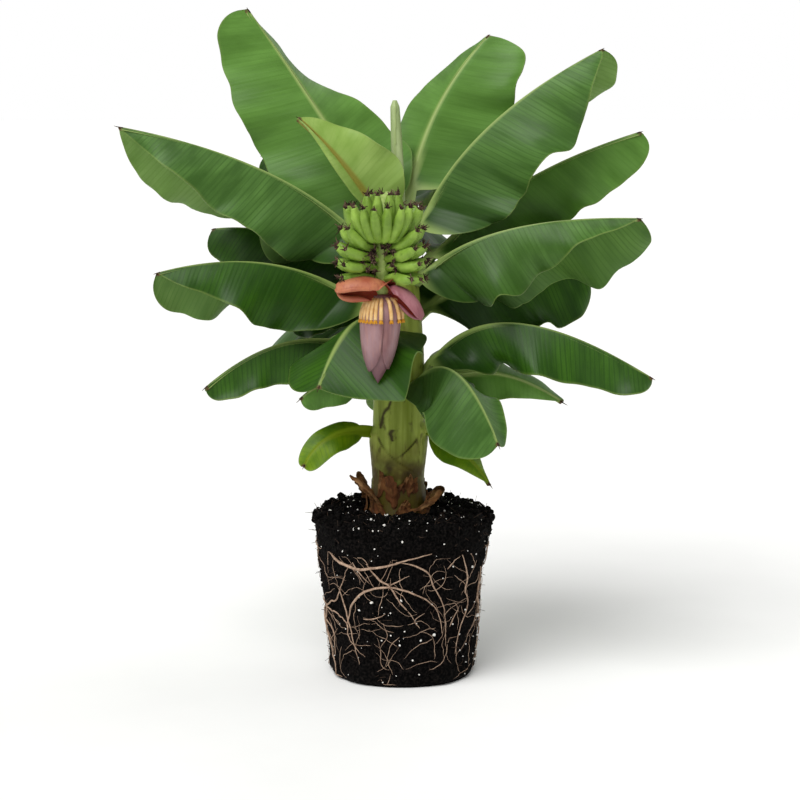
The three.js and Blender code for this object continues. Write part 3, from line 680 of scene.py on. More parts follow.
def make_piece(name, vertices, faces, materials, face_materials=None, values=None):
    """A smooth mesh in metres; values are numbers by name that a material reads at each vertex."""
    mesh = bpy.data.meshes.new(name)
    mesh.from_pydata((np.asarray(vertices).reshape(-1, 3) * MM).tolist(), [], [list(face) for face in faces])
    for material in materials:
        mesh.materials.append(material)
    if face_materials is not None:
        mesh.polygons.foreach_set("material_index", np.asarray(face_materials, dtype=np.int32))
    for key, numbers in (values or {}).items():
        attribute = mesh.attributes.new(key, "FLOAT", "POINT")
        attribute.data.foreach_set("value", np.asarray(numbers, dtype=np.float32).ravel())
    mesh.polygons.foreach_set("use_smooth", np.ones(len(mesh.polygons), dtype=bool))
    return add_object(name, mesh)


def place(piece, slot, *nodes):
    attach(piece, "root")
    if nodes:
        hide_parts(*nodes)


def ring_faces(rows, columns):
    """Faces between rows of closed rings, and a face over each end."""
    faces = []
    for i in range(rows - 1):
        for j in range(columns):
            a = i * columns + j
            b = i * columns + (j + 1) % columns
            faces.append((a, b, b + columns, a + columns))
    last = (rows - 1) * columns
    faces.append(tuple(reversed(range(columns))))
    faces.append(tuple(range(last, last + columns)))
    return faces


def tube(path, radii, sides, shape=None):
    """A closed rod along a path, with one radius for each point; shape scales its outline by side."""
    path = np.asarray(path, float)
    slopes = unit(np.gradient(path, axis=0))
    across = np.cross(slopes[0], UP if abs(slopes[0][2]) < UPRIGHT else (1.0, 0.0, 0.0))
    angles = np.linspace(0, 2 * np.pi, sides, endpoint=False)
    outline = np.ones(sides) if shape is None else shape(angles)
    rings = []
    for point, slope, radius in zip(path, slopes, radii):
        across = unit(across - slope * np.dot(across, slope))
        over = np.cross(slope, across)
        spokes = np.outer(np.cos(angles) * outline, across) + np.outer(np.sin(angles) * outline, over)
        rings.append(point + radius * spokes)
    return np.array(rings), ring_faces(len(path), sides)


def thread(start, heading, kind):
    """A thin thread that curls away from its heading by chance."""
    curl = random.normal(0, 1, 3)
    steps = np.linspace(-kind["back"], random.uniform(*kind["lengths"]), kind["rows"])[:, None]
    path = start + heading * steps + curl * kind["bend"] * np.maximum(steps, 0) ** 2
    path[:, 2] = np.maximum(path[:, 2], THREAD_LOWEST)
    return tube(path, np.linspace(*kind["radii"], kind["rows"]), kind["sides"])


def shell(points, ups, thickness):
    """A thin closed solid under a grid of points: vertices, faces, and 1 for each face of its under side."""
    rows, columns = points.shape[:2]
    under = points - ups * np.broadcast_to(thickness, (rows, columns))[..., None]
    ring = np.concatenate((points, under[:, ::-1]), axis=1)
    column = np.tile(np.arange(2 * columns), rows - 1)
    is_under = (column >= columns) & (column < 2 * columns - 1)
    return ring, ring_faces(rows, 2 * columns), np.append(is_under, (False, False)).astype(int)


def both_sides(values):
    """Values on a shell's upper grid, given to its under side as well."""
    return np.concatenate((values, values[:, ::-1]), axis=1)


def lump():
    """Vertices and faces of a small round form."""
    form = bmesh.new()
    bmesh.ops.create_icosphere(form, subdivisions=LUMP_FINENESS, radius=1)
    vertices = np.array([vertex.co[:] for vertex in form.verts])
    faces = [[vertex.index for vertex in face.verts] for face in form.faces]
    form.free()
    return vertices, faces


def crumb(base, spot, size):
    """A lump made uneven, stretched and turned by chance, at a spot."""
    vertices = base * size * random.uniform(*LUMP_STRETCH, 3)
    shift = random.uniform(-LUMP_SHIFT, LUMP_SHIFT, 3)
    vertices = vertices * (1 + uneven(base + shift, LUMP_UNEVEN, 2))[:, None]
    turn, _ = np.linalg.qr(random.normal(size=(3, 3)))
    return vertices @ turn.T + spot


# Shader nodes

def colour(code):
    """Linear colour of a code such as #4f8f2a."""
    parts = np.array([int(code[i:i + 2], 16) / 255 for i in (1, 3, 5)])
    linear = np.where(parts <= 0.04045, parts / 12.92, ((parts + 0.055) / 1.055) ** 2.4)
    return (*linear, 1.0)


def add_node(tree, kind, inputs, **settings):
    """A new shader node's outputs. An input is a number, a colour or another node's output."""
    made = tree.nodes.new("ShaderNode" + kind)
    for key, value in settings.items():
        setattr(made, key, value)
    for key, value in inputs.items():
        if isinstance(value, bpy.types.NodeSocket):
            tree.links.new(value, made.inputs[key])
        else:
            made.inputs[key].default_value = value
    return made.outputs


class Look:
    """A material and the shader nodes that paint it."""

    def __init__(self, name, shine=0.3):
        self.material = bpy.data.materials.new(name)
        self.material.use_nodes = True
        self.tree = self.material.node_tree
        self.surface = self.tree.nodes["Principled BSDF"]
        self.surface.inputs["Specular IOR Level"].default_value = shine

    def value(self, name):
        """A number that the mesh holds for each vertex."""
        return add_node(self.tree, "Attribute", {}, attribute_name=name)["Fac"]

    def times(self, a, b):
        return add_node(self.tree, "Math", {0: a, 1: b}, operation="MULTIPLY")[0]

    def own_place(self):
        return add_node(self.tree, "TexCoord", {})["Object"]

    def noise_at(self, where, scale, detail):
        return add_node(self.tree, "TexNoise", {"Vector": where, "Scale": scale, "Detail": detail})[0]

    def grain(self, scale, detail=3.0):
        """Noise over the piece, with one scale for each metre, or one for each axis to stretch it."""
        if isinstance(scale, tuple):
            where = add_node(self.tree, "Mapping", {"Vector": self.own_place(), "Scale": scale})[0]
            return self.noise_at(where, 1.0, detail)
        return self.noise_at(self.own_place(), scale, detail)

    def spread(self, value, low=NOISE_LOW, high=NOISE_HIGH, to_low=0.0, to_high=1.0):
        """A value between low and high, spread over another range and held at its ends."""
        inputs = {"Value": value, "From Min": low, "From Max": high, "To Min": to_low, "To Max": to_high}
        return add_node(self.tree, "MapRange", inputs)[0]

    def blend(self, share, a, b):
        return add_node(self.tree, "Mix", {0: share, 6: a, 7: b}, data_type="RGBA")[2]

    def tones(self, share, dark, light):
        return self.blend(share, colour(dark), colour(light))

    def tint(self, base, share, code):
        return self.blend(share, base, colour(code))

    def finish(self, base, roughness, relief):
        """Joins the colour, the roughness [noise, least, most] and the bump [noise, strength, metres]."""
        patches, least, most = roughness
        height, strength, distance = relief
        bump = add_node(self.tree, "Bump", {"Height": height, "Strength": strength, "Distance": distance})[0]
        dullness = self.spread(patches, to_low=least, to_high=most)
        for key, output in (("Base Color", base), ("Roughness", dullness), ("Normal", bump)):
            self.tree.links.new(output, self.surface.inputs[key])
        return self.material


# Materials

def blade_place(look, along, across):
    """A place on the blade for noise that follows its veins, with speeds along and across it."""
    x = look.times(look.value("along"), along)
    y = look.times(look.value("across"), across)
    return add_node(look.tree, "CombineXYZ", {"X": x, "Y": y})[0]


def leaf_material(name, dark, light, rib, roughness, streaks):
    """A blade with bands and fine lines along its veins, a pale midrib and margin, a dried tip, and painted
    shade towards its foot.
    """
    look = Look(name, 0.2)
    bands = look.noise_at(blade_place(look, *BAND_SPEEDS), 1.0, 3.0)
    lines = look.noise_at(blade_place(look, *LINE_SPEEDS), 1.0, 2.0)
    wave = {"Vector": blade_place(look, *VEIN_SPEEDS), "Scale": 0.06, "Distortion": 2.5, "Detail": 1.0}
    veins = add_node(look.tree, "TexWave", wave)[1]
    mottle = look.grain(28.0)
    green = look.tones(look.spread(bands, 0.35, 0.65), dark, light)
    green = look.tint(green, look.spread(lines, 0.52, 0.78, 0, 0.3 * streaks), light)
    green = look.tint(green, look.spread(lines, 0.46, 0.25, 0, 0.4 * streaks), dark)
    green = look.tint(green, look.spread(veins, 0.25, 0.0, 0, 0.7 * streaks), dark)
    green = look.tint(green, look.spread(mottle, 0.5, 0.8, 0, 0.25), dark)
    # Painted shade towards the foot of the blade, stronger on streaky leaves
    green = look.tint(green, look.times(look.value("painted_shade"), 0.7 * streaks), LEAF_SHADE_TONE)
    green = look.tint(green, look.times(look.value("rib"), 0.85), rib)
    green = look.tint(green, look.times(look.value("edge"), 0.45), LEAF_MARGIN_TONE)
    green = look.tint(green, look.value("dry"), LEAF_DRY_TONE)
    return look.finish(green, (lines, roughness - 0.05, roughness + 0.07), (lines, 0.25, 0.0004))


def leaf_materials():
    """Upper and under side of a leaf of each age and painted light."""
    made = {}
    for age_and_light, (dark, light, under_dark, under_light, rib, streaks) in LEAF_TONES.items():
        made[age_and_light] = [
            leaf_material("leaf_upper_" + age_and_light, dark, light, rib, LEAF_UPPER_ROUGH, streaks),
            leaf_material("leaf_under_" + age_and_light, under_dark, under_light, rib, LEAF_UNDER_ROUGH, streaks),
        ]
    return made


def trunk_material():
    """Green sheaths with lengthwise streaks, brown blotches, dried margins and painted shade round the
    scraps.
    """
    look = Look("trunk_bark", 0.15)
    streaks = look.grain((160, 160, 9))
    blotches = look.grain((34, 34, 15), 4.0)
    specks = look.grain((130, 130, 60))
    pale = look.tones(look.spread(streaks), "#7d8a28", "#a6b056")
    olive = look.tones(look.spread(streaks), "#616f1e", "#8fa044")
    green = look.blend(look.value("sheath"), olive, pale)
    green = look.tint(green, look.spread(blotches, 0.54, 0.7, 0, 0.7), "#4f4414")
    green = look.tint(green, look.spread(specks, 0.6, 0.7, 0, 0.6), "#33230f")
    green = look.tint(green, look.times(look.value("low"), 0.9), "#46340b")
    # Dried margins and tears, and painted shade round the tops of the scraps
    green = look.tint(green, look.spread(look.value("margin"), 0.05, 0.85, 0, 0.9), "#2c1d0b")
    return look.finish(green, (streaks, 0.42, 0.6), (streaks, 0.35, 0.0008))


def dry_material(name, dark, mid, light, grain):
    """Dried plant skin: streaked browns, rough."""
    look = Look(name, 0.1)
    streaks = look.grain(grain, 4.0)
    patches = look.grain((70, 70, 70))
    brown = look.tones(look.spread(streaks, 0.3, 0.65), dark, mid)
    brown = look.tint(brown, look.spread(patches, 0.5, 0.72, 0, 0.8), light)
    return look.finish(brown, (patches, 0.7, 0.95), (streaks, 0.6, 0.001))


def soil_material():
    """Black peat with browner crumbs."""
    look = Look("peat", 0.05)
    crumbs = look.grain(420.0, 5.0)
    patches = look.grain(70.0)
    black = look.tones(look.spread(crumbs, 0.45, 0.75), "#030303", "#1f1b19")
    black = look.tint(black, look.spread(patches, 0.5, 0.75, 0, 0.5), "#0a0807")
    return look.finish(black, (patches, 0.85, 1.0), (crumbs, 0.9, 0.0015))


def fruit_material():
    """Green finger skin with lighter patches and fine marks."""
    look = Look("finger_skin")
    marks = look.grain(260.0)
    patches = look.grain(60.0)
    green = look.tones(look.spread(patches), "#66862a", "#93b54a")
    green = look.tint(green, look.spread(marks, 0.6, 0.8, 0, 0.5), "#45601c")
    return look.finish(green, (patches, 0.36, 0.52), (marks, 0.15, 0.0004))


def bloomed_material(name, base, bloom, streak, roughness, tip=None):
    """Bract skin: fine lengthwise ribs under a pale bloom; the bud is darker at its tip."""
    look = Look(name)
    ribs = look.grain((420, 420, 14))
    patches = look.grain((60, 60, 26))
    skin = look.tones(look.spread(patches, 0.35, 0.65), base, bloom)
    skin = look.tint(skin, look.spread(ribs, 0.5, 0.75, 0, 0.6), streak)
    if tip:
        height = add_node(look.tree, "SeparateXYZ", {"Vector": look.own_place()})["Z"]
        skin = look.tint(skin, look.spread(height, *BUD_TIP_FADE, 0, 0.85), tip)
    return look.finish(skin, (patches, roughness - 0.08, roughness + 0.08), (ribs, 0.25, 0.0006))


def fine_material(name, dark, light, scale, roughness):
    """Two tones in fine grain, for small forms."""
    look = Look(name)
    grain = look.grain(scale, 4.0)
    tone = look.tones(look.spread(grain), dark, light)
    return look.finish(tone, (grain, roughness - 0.08, roughness + 0.08), (grain, 0.4, 0.0006))


# Trunk

def trunk_centre(height):
    bottom = TRUNK_RINGS[1][0]
    top = TRUNK_RINGS[-1][0]
    share = clamp01((np.asarray(height, float) - bottom) / (top - bottom))
    return leaning(TRUNK_FOOT, TRUNK_TOP, share, height)


def trunk_radius(height):
    heights, radii = zip(*TRUNK_RINGS)
    return np.interp(height, heights, radii)


def sheath_reach(below):
    """How far round the trunk a sheath reaches on each side, in degrees, by the distance below its stalk."""
    at_stalk, in_full, distance = SHEATH_REACH
    return mix(at_stalk, in_full, ease(below / distance))


def sheath_relief(turns, heights):
    """Overlapping sheaths: how far the bark stands out, how near a margin is, and the outer one's tone."""
    relief = np.zeros(np.broadcast(turns, heights).shape)
    margin = np.zeros_like(relief)
    tone = np.full_like(relief, BARE_TONE)
    keel, keel_width, keel_start = SHEATH_KEEL
    sheaths = [leaf for leaf in LEAVES.values() if leaf["height"] <= SHEATH_TOP]
    for leaf in sorted(sheaths, key=lambda leaf: -leaf["height"]):
        below = leaf["height"] - heights
        offset = np.abs(turn_between(turns, leaf["turn"]))
        inside = sheath_reach(below) - offset
        on_sheath = below > 0
        covered = ease(inside / SHEATH_LAP + 0.5) * on_sheath
        relief += SHEATH_STEP * covered
        fade = ease(1 - below / SHEATH_FADE) * ease(1 + below / keel_start)
        relief += keel * bell(offset, keel_width) * fade
        shown = ease(below / MARGIN_STARTS) * ease((MARGIN_REACH - below) / MARGIN_ENDS)
        margin = np.maximum(margin * (1 - covered), bell(inside, MARGIN_WIDTH) * on_sheath * shown)
        own_tone = SHEATH_TONES[leaf["age_and_light"]] * ease(SHEATH_TONE_HOLD - below / SHEATH_FADE)
        tone = mix(tone, own_tone, covered)
    return relief - relief.mean(axis=1, keepdims=True), margin, tone


def tear_nearness(turns, heights):
    """How near each place on the bark is to one of the ragged tears, from 0 to 1."""
    near = np.zeros(np.broadcast(turns, heights).shape)
    for lane, tear in enumerate(TEARS):
        path = np.array(tear[::-1], float)
        middle = np.interp(heights, path[:, 1], path[:, 0]) + stray(heights, TEAR_STRAY, TEAR_LANES[0] + lane)
        between_ends = (heights > path[0, 1]) & (heights < path[-1, 1])
        width = TEAR_WIDTH + stray(heights, TEAR_RAGGED, TEAR_LANES[1] + lane)
        near = np.maximum(near, bell(turn_between(turns, middle), width) * between_ends)
    return near


def scrap_shade(turns, heights):
    """Painted shade on the bark round the top of each scrap of old sheath that hangs above the soil, from 0
    to 1.
    """
    shade = np.zeros(np.broadcast(turns, heights).shape)
    for middle, half, low, top, _ in COLLARS:
        if low > BALL_HEIGHT:
            near = bell(turn_between(turns, middle), half) * bell(heights - top, SHADE_REACH)
            shade = np.maximum(shade, near)
    return shade


def make_trunk(material):
    heights = np.arange(TRUNK_RINGS[0][0], TRUNK_RINGS[-1][0], TRUNK_ROW_GAP)[:, None]
    turns = round_turns(TRUNK_COLUMNS)
    relief, margin, sheath = sheath_relief(turns, heights)
    relief = relief * ease((TRUNK_RINGS[-1][0] - heights) / TRUNK_SMOOTH_TOP)
    points = trunk_centre(heights) + turned(turns) * (trunk_radius(heights) + relief)[..., None]
    points = points + turned(turns) * uneven(points, BARK_KNOBS)[..., None]
    margin = np.maximum(margin * patchy(points, MARGIN_PATCHES), tear_nearness(turns, heights))
    # Painted shade round the tops of the scraps joins the margins
    margin = np.maximum(margin, scrap_shade(turns, heights) * patchy(points, SHADE_PATCHES))
    low = ramp(heights, FOOT_BROWN) * patchy(points, FOOT_PATCHES, ramp(heights, FOOT_BROWN_FULL))
    values = dict(margin=margin, low=low, sheath=sheath)
    piece = make_piece("trunk_bark", points, ring_faces(*points.shape[:2]), [material], values=values)
    place(piece, "trunk", "trunk")


def collar_grid(index, middle, half, low, top, lean):
    """Points of one scrap of old sheath and their outward directions."""
    across = np.linspace(-1, 1, COLLAR_COLUMNS)[:, None]
    shares = np.linspace(0, 1, COLLAR_ROWS)[None, :]
    raggedness, ragged_scale = COLLAR_RAGGED
    ragged = stray(across * half, (1, ragged_scale), index)
    torn = stray(across * half, COLLAR_TEAR, index + COLLAR_TEAR_LANE)
    point = clamp01(1 - np.abs(across) ** COLLAR_POINT)
    reach = COLLAR_LEAST + (top - low - COLLAR_LEAST) * point * (1 + raggedness * ragged)
    heights = low + torn * (low > BALL_HEIGHT) + reach * shares
    turns = middle + half * across * (1 - COLLAR_NARROWS * shares) + lean * shares**COLLAR_LEAN
    nearest, further = COLLAR_OUT
    bulge = nearest + further * index + COLLAR_CURL * shares**2 * point * (1 + ragged)
    points = trunk_centre(heights) + turned(turns) * (trunk_radius(heights) + bulge)[..., None]
    return points + turned(turns) * uneven(points, COLLAR_CRUMPLE)[..., None], turned(turns)


def make_collars(materials):
    """Stumps of old sheaths round the foot of the trunk, with ragged dry rims."""
    pile = Pile()
    around = 2 * COLLAR_ROWS
    for index, collar in enumerate(COLLARS):
        points, outward = collar_grid(index, *collar)
        ring, faces, _ = shell(points[:, ::-1], outward[:, ::-1], COLLAR_THICKNESS)
        from_rim = [min(face[0] % around, around - 1 - face[0] % around) for face in faces]
        pile.add_dealt(ring, faces, [int(distance < COLLAR_RIM) for distance in from_rim])
    place(pile.piece("dry_collars", materials), "husk")


# Leaves

def leaf_root(leaf):
    outward = trunk_radius(leaf["height"]) - ROOT_INSET
    return trunk_centre(leaf["height"]) + outward * turned(leaf["turn"])


def arch(root, bend, tip, t):
    """Points and slopes of the midrib at shares t of its arch."""
    root, bend, tip = (np.asarray(end, float) for end in (root, bend, tip))
    t = t[:, None]
    points = root * (1 - t) ** 2 + bend * 2 * t * (1 - t) + tip * t**2
    slopes = unit((bend - root) * (1 - t) + (tip - bend) * t)
    return points, slopes


def even_shares(root, bend, tip, gap):
    """Shares of the arch about one gap apart, and their distances along it."""
    fine = np.linspace(0, 1, ARCH_STEPS)
    points, _ = arch(root, bend, tip, fine)
    run = np.append(0, np.cumsum(np.linalg.norm(np.diff(points, axis=0), axis=1)))
    even = np.linspace(0, run[-1], int(run[-1] / gap) + 2)
    return np.interp(even, run, fine), even


def outline_share(s, taper):
    """Width of a half, as a share of its widest; taper is where it starts to narrow straight to its tip."""
    foot = np.sqrt(1 - (1 - np.minimum(s / FOOT_SHARE, 1)) ** 2)
    start = taper if taper < 1 else ROUND_TIP_SHARE
    late, blunt = STRAIGHT_TIP if taper < 1 else ROUND_TIP
    beyond = clamp01((s - start) / (1 - start))
    return foot * (1 - beyond**late) ** blunt


def across_shares():
    """Shares of a half's width, closer together at the midrib and the edge."""
    return 0.5 - 0.5 * np.cos(np.pi * np.arange(1, LEAF_ACROSS + 1) / LEAF_ACROSS)


def half_width(leaf, rib, s, run, half, lane):
    """Width of one half along the leaf, with an edge that strays."""
    width = np.maximum(rib["half"], leaf["half"][half] * outline_share(clamp01(s), leaf["taper"][half]))
    return width * (1 + stray(run, EDGE_STRAY, lane) * clamp01(s / FOLD_STARTS))


def half_angles(leaf, s, run, half, bow, lane, middles):
    """How steeply one half hangs, in radians, along the leaf and at shares of its width."""
    on_blade = clamp01(s / FOLD_STARTS)
    fold_foot, fold_tip = leaf["fold"][half]
    fold = mix(fold_foot, fold_tip, clamp01(s)) * on_blade
    wave_angle, wave_count = leaf["wave"]
    ripple = np.sin(2 * np.pi * (wave_count * s + leaf["phase"][half])) * wave_angle * on_blade
    curl = leaf["curl"] * stray(run, EDGE_CURL, lane) * on_blade
    hang = fold[:, None] * (1 - bow + 2 * bow * middles)
    return np.radians(hang + ripple[:, None] * middles + 2 * curl[:, None] * middles**3)


def half_section(leaf, rib, s, run, half, bow, lane):
    """Points, upward directions and widths of one half, from beside the midrib out to the edge."""
    width = half_width(leaf, rib, s, run, half, lane)
    shares = across_shares()
    steps = np.diff(np.append(0, shares))
    angle = half_angles(leaf, s, run, half, bow, lane + CURL_LANE, shares - steps / 2)[..., None]
    lean = mix(VEIN_LEAN, VEIN_LEAN_TIP, clamp01(s) ** 2) * clamp01(s / FOLD_STARTS)
    lean = np.radians(lean)[:, None, None]
    side = (1 if half else -1) * rib["side"][:, None]
    out = side * np.cos(angle) - rib["normal"][:, None] * np.sin(angle)
    up = side * np.sin(angle) + rib["normal"][:, None] * np.cos(angle)
    forward = out * np.cos(lean) + rib["along"][:, None] * np.sin(lean)
    strides = forward * (width[:, None] * steps)[..., None]
    return rib["point"][:, None] + np.cumsum(strides, axis=1), up, width[:, None] * shares


def leaf_grid(leaf, build, gap, bow, lane):
    """A leaf's upper side from its left edge to its right: points, upward directions and measures."""
    t, run = even_shares(leaf["root"], leaf["bend"], leaf["tip"], gap)
    s = (t - leaf["blade"]) / (1 - leaf["blade"])
    point, along = arch(leaf["root"], leaf["bend"], leaf["tip"], t)
    face = np.asarray(leaf["face"], float)
    normal = unit(face - along * (along @ face)[:, None])
    rib_half = mix(build["rib_half"], build["stalk_half"], clamp01(1 - s) ** 2)
    rib = dict(point=point, along=along, normal=normal, side=np.cross(along, normal), half=rib_half)
    left, left_up, left_run = half_section(leaf, rib, s, run, 0, bow, lane)
    right, right_up, right_run = half_section(leaf, rib, s, run, 1, bow, lane + RIGHT_LANE)
    points = np.concatenate((left[:, ::-1], point[:, None], right), axis=1)
    ups = np.concatenate((left_up[:, ::-1], normal[:, None], right_up), axis=1)
    from_rib = np.concatenate((left_run[:, ::-1], 0 * run[:, None], right_run), axis=1)
    left_edge = np.repeat(left_run[:, -1:], LEAF_ACROSS, axis=1)
    right_edge = np.repeat(right_run[:, -1:], LEAF_ACROSS + 1, axis=1)
    depth = mix(build["stalk_depth"], build["rib_depth"], clamp01(s / RIB_THINS_BY))[:, None]
    on_rib = bell(from_rib, RIB_THICK * rib_half[:, None])
    across = np.concatenate((-across_shares()[::-1], [0], across_shares()))
    level = 0 * from_rib
    measures = dict(
        s=s[:, None] + level,
        run=run[:, None] + level,
        rib_half=rib_half[:, None] + level,
        across=across + level,
        from_rib=from_rib,
        from_edge=np.concatenate((left_edge, right_edge), axis=1) - from_rib,
        thickness=build["thickness"] + (depth - build["thickness"]) * on_rib,
    )
    return points, ups, measures


def blade_relief(measures, lane):
    """Vein ridges and wider swells across the blade, fading at the midrib."""
    run = measures["run"][:, 0]
    ridge_height, ridge_length = VEIN_RIDGE
    ridge = ridge_height * np.sin(2 * np.pi * run / ridge_length + stray(run, VEIN_STRAY, lane))
    swell = stray(run, VEIN_SWELL, lane + SWELL_LANE)
    away = ease((measures["from_rib"] - measures["rib_half"]) / RELIEF_FULL)
    return (ridge + swell)[:, None] * away * ease(measures["s"] / RELIEF_STARTS)


def leaf_values(points, measures, lane):
    """What the leaf material reads at each vertex."""
    s = measures["s"]
    off_rib = ease((measures["from_rib"] / measures["rib_half"] - RIB_CORE) / (1 - RIB_CORE))
    rib = 1 - off_rib * ease(s / RIB_STARTS)
    near_edge = ease(LEAF_MARGIN_SOFT - measures["from_edge"] / LEAF_MARGIN)
    from_tip = np.linalg.norm(points - points[-1, LEAF_ACROSS], axis=-1)
    values = dict(
        along=measures["run"] + VEIN_LANE_GAP * lane,
        across=measures["across"],
        rib=rib,
        edge=near_edge * ease(s / LEAF_MARGIN_STARTS),
        dry=ease(DRY_TIP_SOFT - from_tip / DRY_TIP),
        # Painted shade towards the foot of the blade, off the midrib
        painted_shade=ease(1 - s / SHADE_FOOT_SHARE) * (1 - rib),
    )
    return {key: both_sides(numbers) for key, numbers in values.items()}


def make_leaf(name, leaf, materials, lane):
    leaf = dict(LEAF_HABIT, **leaf, root=leaf_root(leaf))
    points, ups, measures = leaf_grid(leaf, LEAF_BUILD, LEAF_GAP, LEAF_BOW, lane)
    groove_depth, groove_share = RIB_GROOVE
    groove = groove_depth * bell(measures["from_rib"], groove_share * measures["rib_half"])
    points = points + ups * (blade_relief(measures, lane) - groove)[..., None]
    ring, faces, is_under = shell(points, ups, measures["thickness"])
    piece = make_piece(name + "_fine", ring, faces, materials, is_under, leaf_values(points, measures, lane))
    place(piece, "leaf", name)


def make_dry_tips(material):
    """A dried, curled thread at the end of each midrib."""
    pile = Pile()
    for leaf in LEAVES.values():
        tip = np.asarray(leaf["tip"], float)
        slope = unit(tip - np.asarray(leaf["bend"], float))
        pile.add(*thread(tip - TIP_THREAD_DROP * UP, slope, TIP_THREAD))
    place(pile.piece("leaf_dry_tips", [material]), "leaf")


def make_rolled_leaf(material):
    """The youngest leaf, still rolled to a spike, with its free edge running up it."""
    foot = trunk_centre(ROLLED_FOOT_HEIGHT)
    tip = np.asarray(ROLLED_TIP, float)
    shares = np.linspace(0, 1, ROLLED_ROWS)[:, None]
    turns = round_turns(ROLLED_COLUMNS)
    radius = np.interp(shares, *zip(*ROLLED_RADII))
    seam_turn, seam_winds = ROLLED_SEAM
    seam = (turns - seam_turn - seam_winds * shares) % 360 / 360
    radius = radius * (1 - ROLLED_LAP / 2 + ROLLED_LAP * seam)
    points = mix(foot, tip, shares[..., None]) + turned(turns) * radius[..., None]
    up_share, round_share = ROLLED_VEINS
    along = shares * np.linalg.norm(tip - foot) * up_share + round_share * seam
    none = np.zeros_like(seam)
    edge = ease(1 - ROLLED_EDGE * (1 - seam))
    values = dict(along=along, across=seam, rib=none, edge=edge, dry=none, painted_shade=none)
    piece = make_piece("leaf_rolled_fine", points, ring_faces(*points.shape[:2]), [material], values=values)
    place(piece, "leaf", "leaf_rolled")


def make_husk(name, husk, material, lane):
    """A dry sheath, crumpled and with ragged edges."""
    husk = dict(HUSK_HABIT, **husk, root=leaf_root(husk))
    points, ups, measures = leaf_grid(husk, HUSK_BUILD, HUSK_GAP, LEAF_BOW, lane)
    ragged = 1 + stray(measures["run"][:, 0], HUSK_RAGGED, lane)
    middle = points[:, LEAF_ACROSS:LEAF_ACROSS + 1]
    points = middle + (points - middle) * ragged[:, None, None]
    points = points + ups * uneven(points, HUSK_CRUMPLE)[..., None]
    ring, faces, _ = shell(points, ups, measures["thickness"])
    place(make_piece(name + "_fine", ring, faces, [material]), "husk", name)


# Fruit

def finger_path(hand, turn, tilt):
    """A finger leaves the stalk, and curves upward to its tip."""
    flat = turned(turn)
    start = np.array((*STALK_AXIS, hand["height"] - FINGER_DROP), float)
    points = [start, start + flat * hand["cushion"] + FINGER_DROP * UP]
    step = hand["length"] / (len(FINGER_RADII) - 2)
    for i in range(len(FINGER_RADII) - 2):
        rise = math.radians(hand["rise"] + tilt + FINGER_CURVE * (i - 1))
        points.append(points[-1] + flat * step * math.cos(rise) + step * math.sin(rise) * UP)
    return np.array(points)


def finger_outline(angles):
    return 1 + FINGER_EDGE * np.cos(FINGER_ANGLES * angles)


def add_dry_flower(pile, lumps, tip, slope):
    """A withered flower: a dark lump with a few curled threads."""
    pile.add(crumb(lumps[0], tip, FLOWER_LUMP), lumps[1])
    for _ in range(FLOWER_THREADS):
        heading = unit(slope + random.normal(0, THREAD_STRAY, 3))
        pile.add(*thread(tip, heading, FLOWER_THREAD), int(random.integers(0, 2)))


def make_fruit(fruit, stalk, dry):
    """Stalk and fingers in one piece, and the dried flowers in another."""
    bunch = Pile()
    flowers = Pile()
    lumps = lump()
    path = smooth_path(STALK_POINTS, STALK_STEPS)
    bunch.add(*tube(path, STALK_RADIUS * (1 + uneven(path, STALK_KNOBS)), STALK_SIDES), 1)
    for hand in HANDS:
        for turn in np.linspace(hand["start"], hand["end"], hand["count"]):
            stray_turn = random.uniform(-FINGER_STRAY_TURN, FINGER_STRAY_TURN)
            stray_rise = random.uniform(-FINGER_STRAY_RISE, FINGER_STRAY_RISE)
            points = finger_path(hand, turn + stray_turn, stray_rise)
            path = smooth_path(points, FINGER_STEPS)
            bunch.add(*tube(path, spread_over(FINGER_RADII, len(path)), FINGER_SIDES, finger_outline))
            add_dry_flower(flowers, lumps, points[-1], unit(points[-1] - points[-2]))
    for tuft in DRY_TUFTS:
        for _ in range(TUFT_FLOWERS):
            spot = np.asarray(tuft, float) + random.normal(0, TUFT_SPREAD, 3)
            add_dry_flower(flowers, lumps, spot, TUFT_SLOPE)
    place(bunch.piece("fruit_bunch", [fruit, stalk]), "fruit", "fruit_stalk")
    place(flowers.piece("withered_flowers", dry), "fruit")


# Flower bud

def bud_radius(heights):
    rows = np.array(BUD_RINGS, float)
    smooth = smooth_path(np.column_stack((rows, 0 * rows[:, 0])), BUD_STEPS)
    return np.interp(heights, smooth[::-1, 0], smooth[::-1, 1])


def bud_axis(heights):
    share = (BUD_RINGS[0][0] - heights) / (BUD_RINGS[0][0] - BUD_RINGS[-1][0])
    return leaning(STALK_AXIS, BUD_TIP, share, heights)


def bud_core():
    heights = np.linspace(BUD_RINGS[0][0], BUD_RINGS[-1][0], BUD_ROWS)[:, None]
    turns = np.linspace(360, 0, BUD_COLUMNS, endpoint=False)[None, :]
    points = bud_axis(heights) + turned(turns) * (bud_radius(heights) - BUD_SINK)[..., None]
    return points, ring_faces(*points.shape[:2])


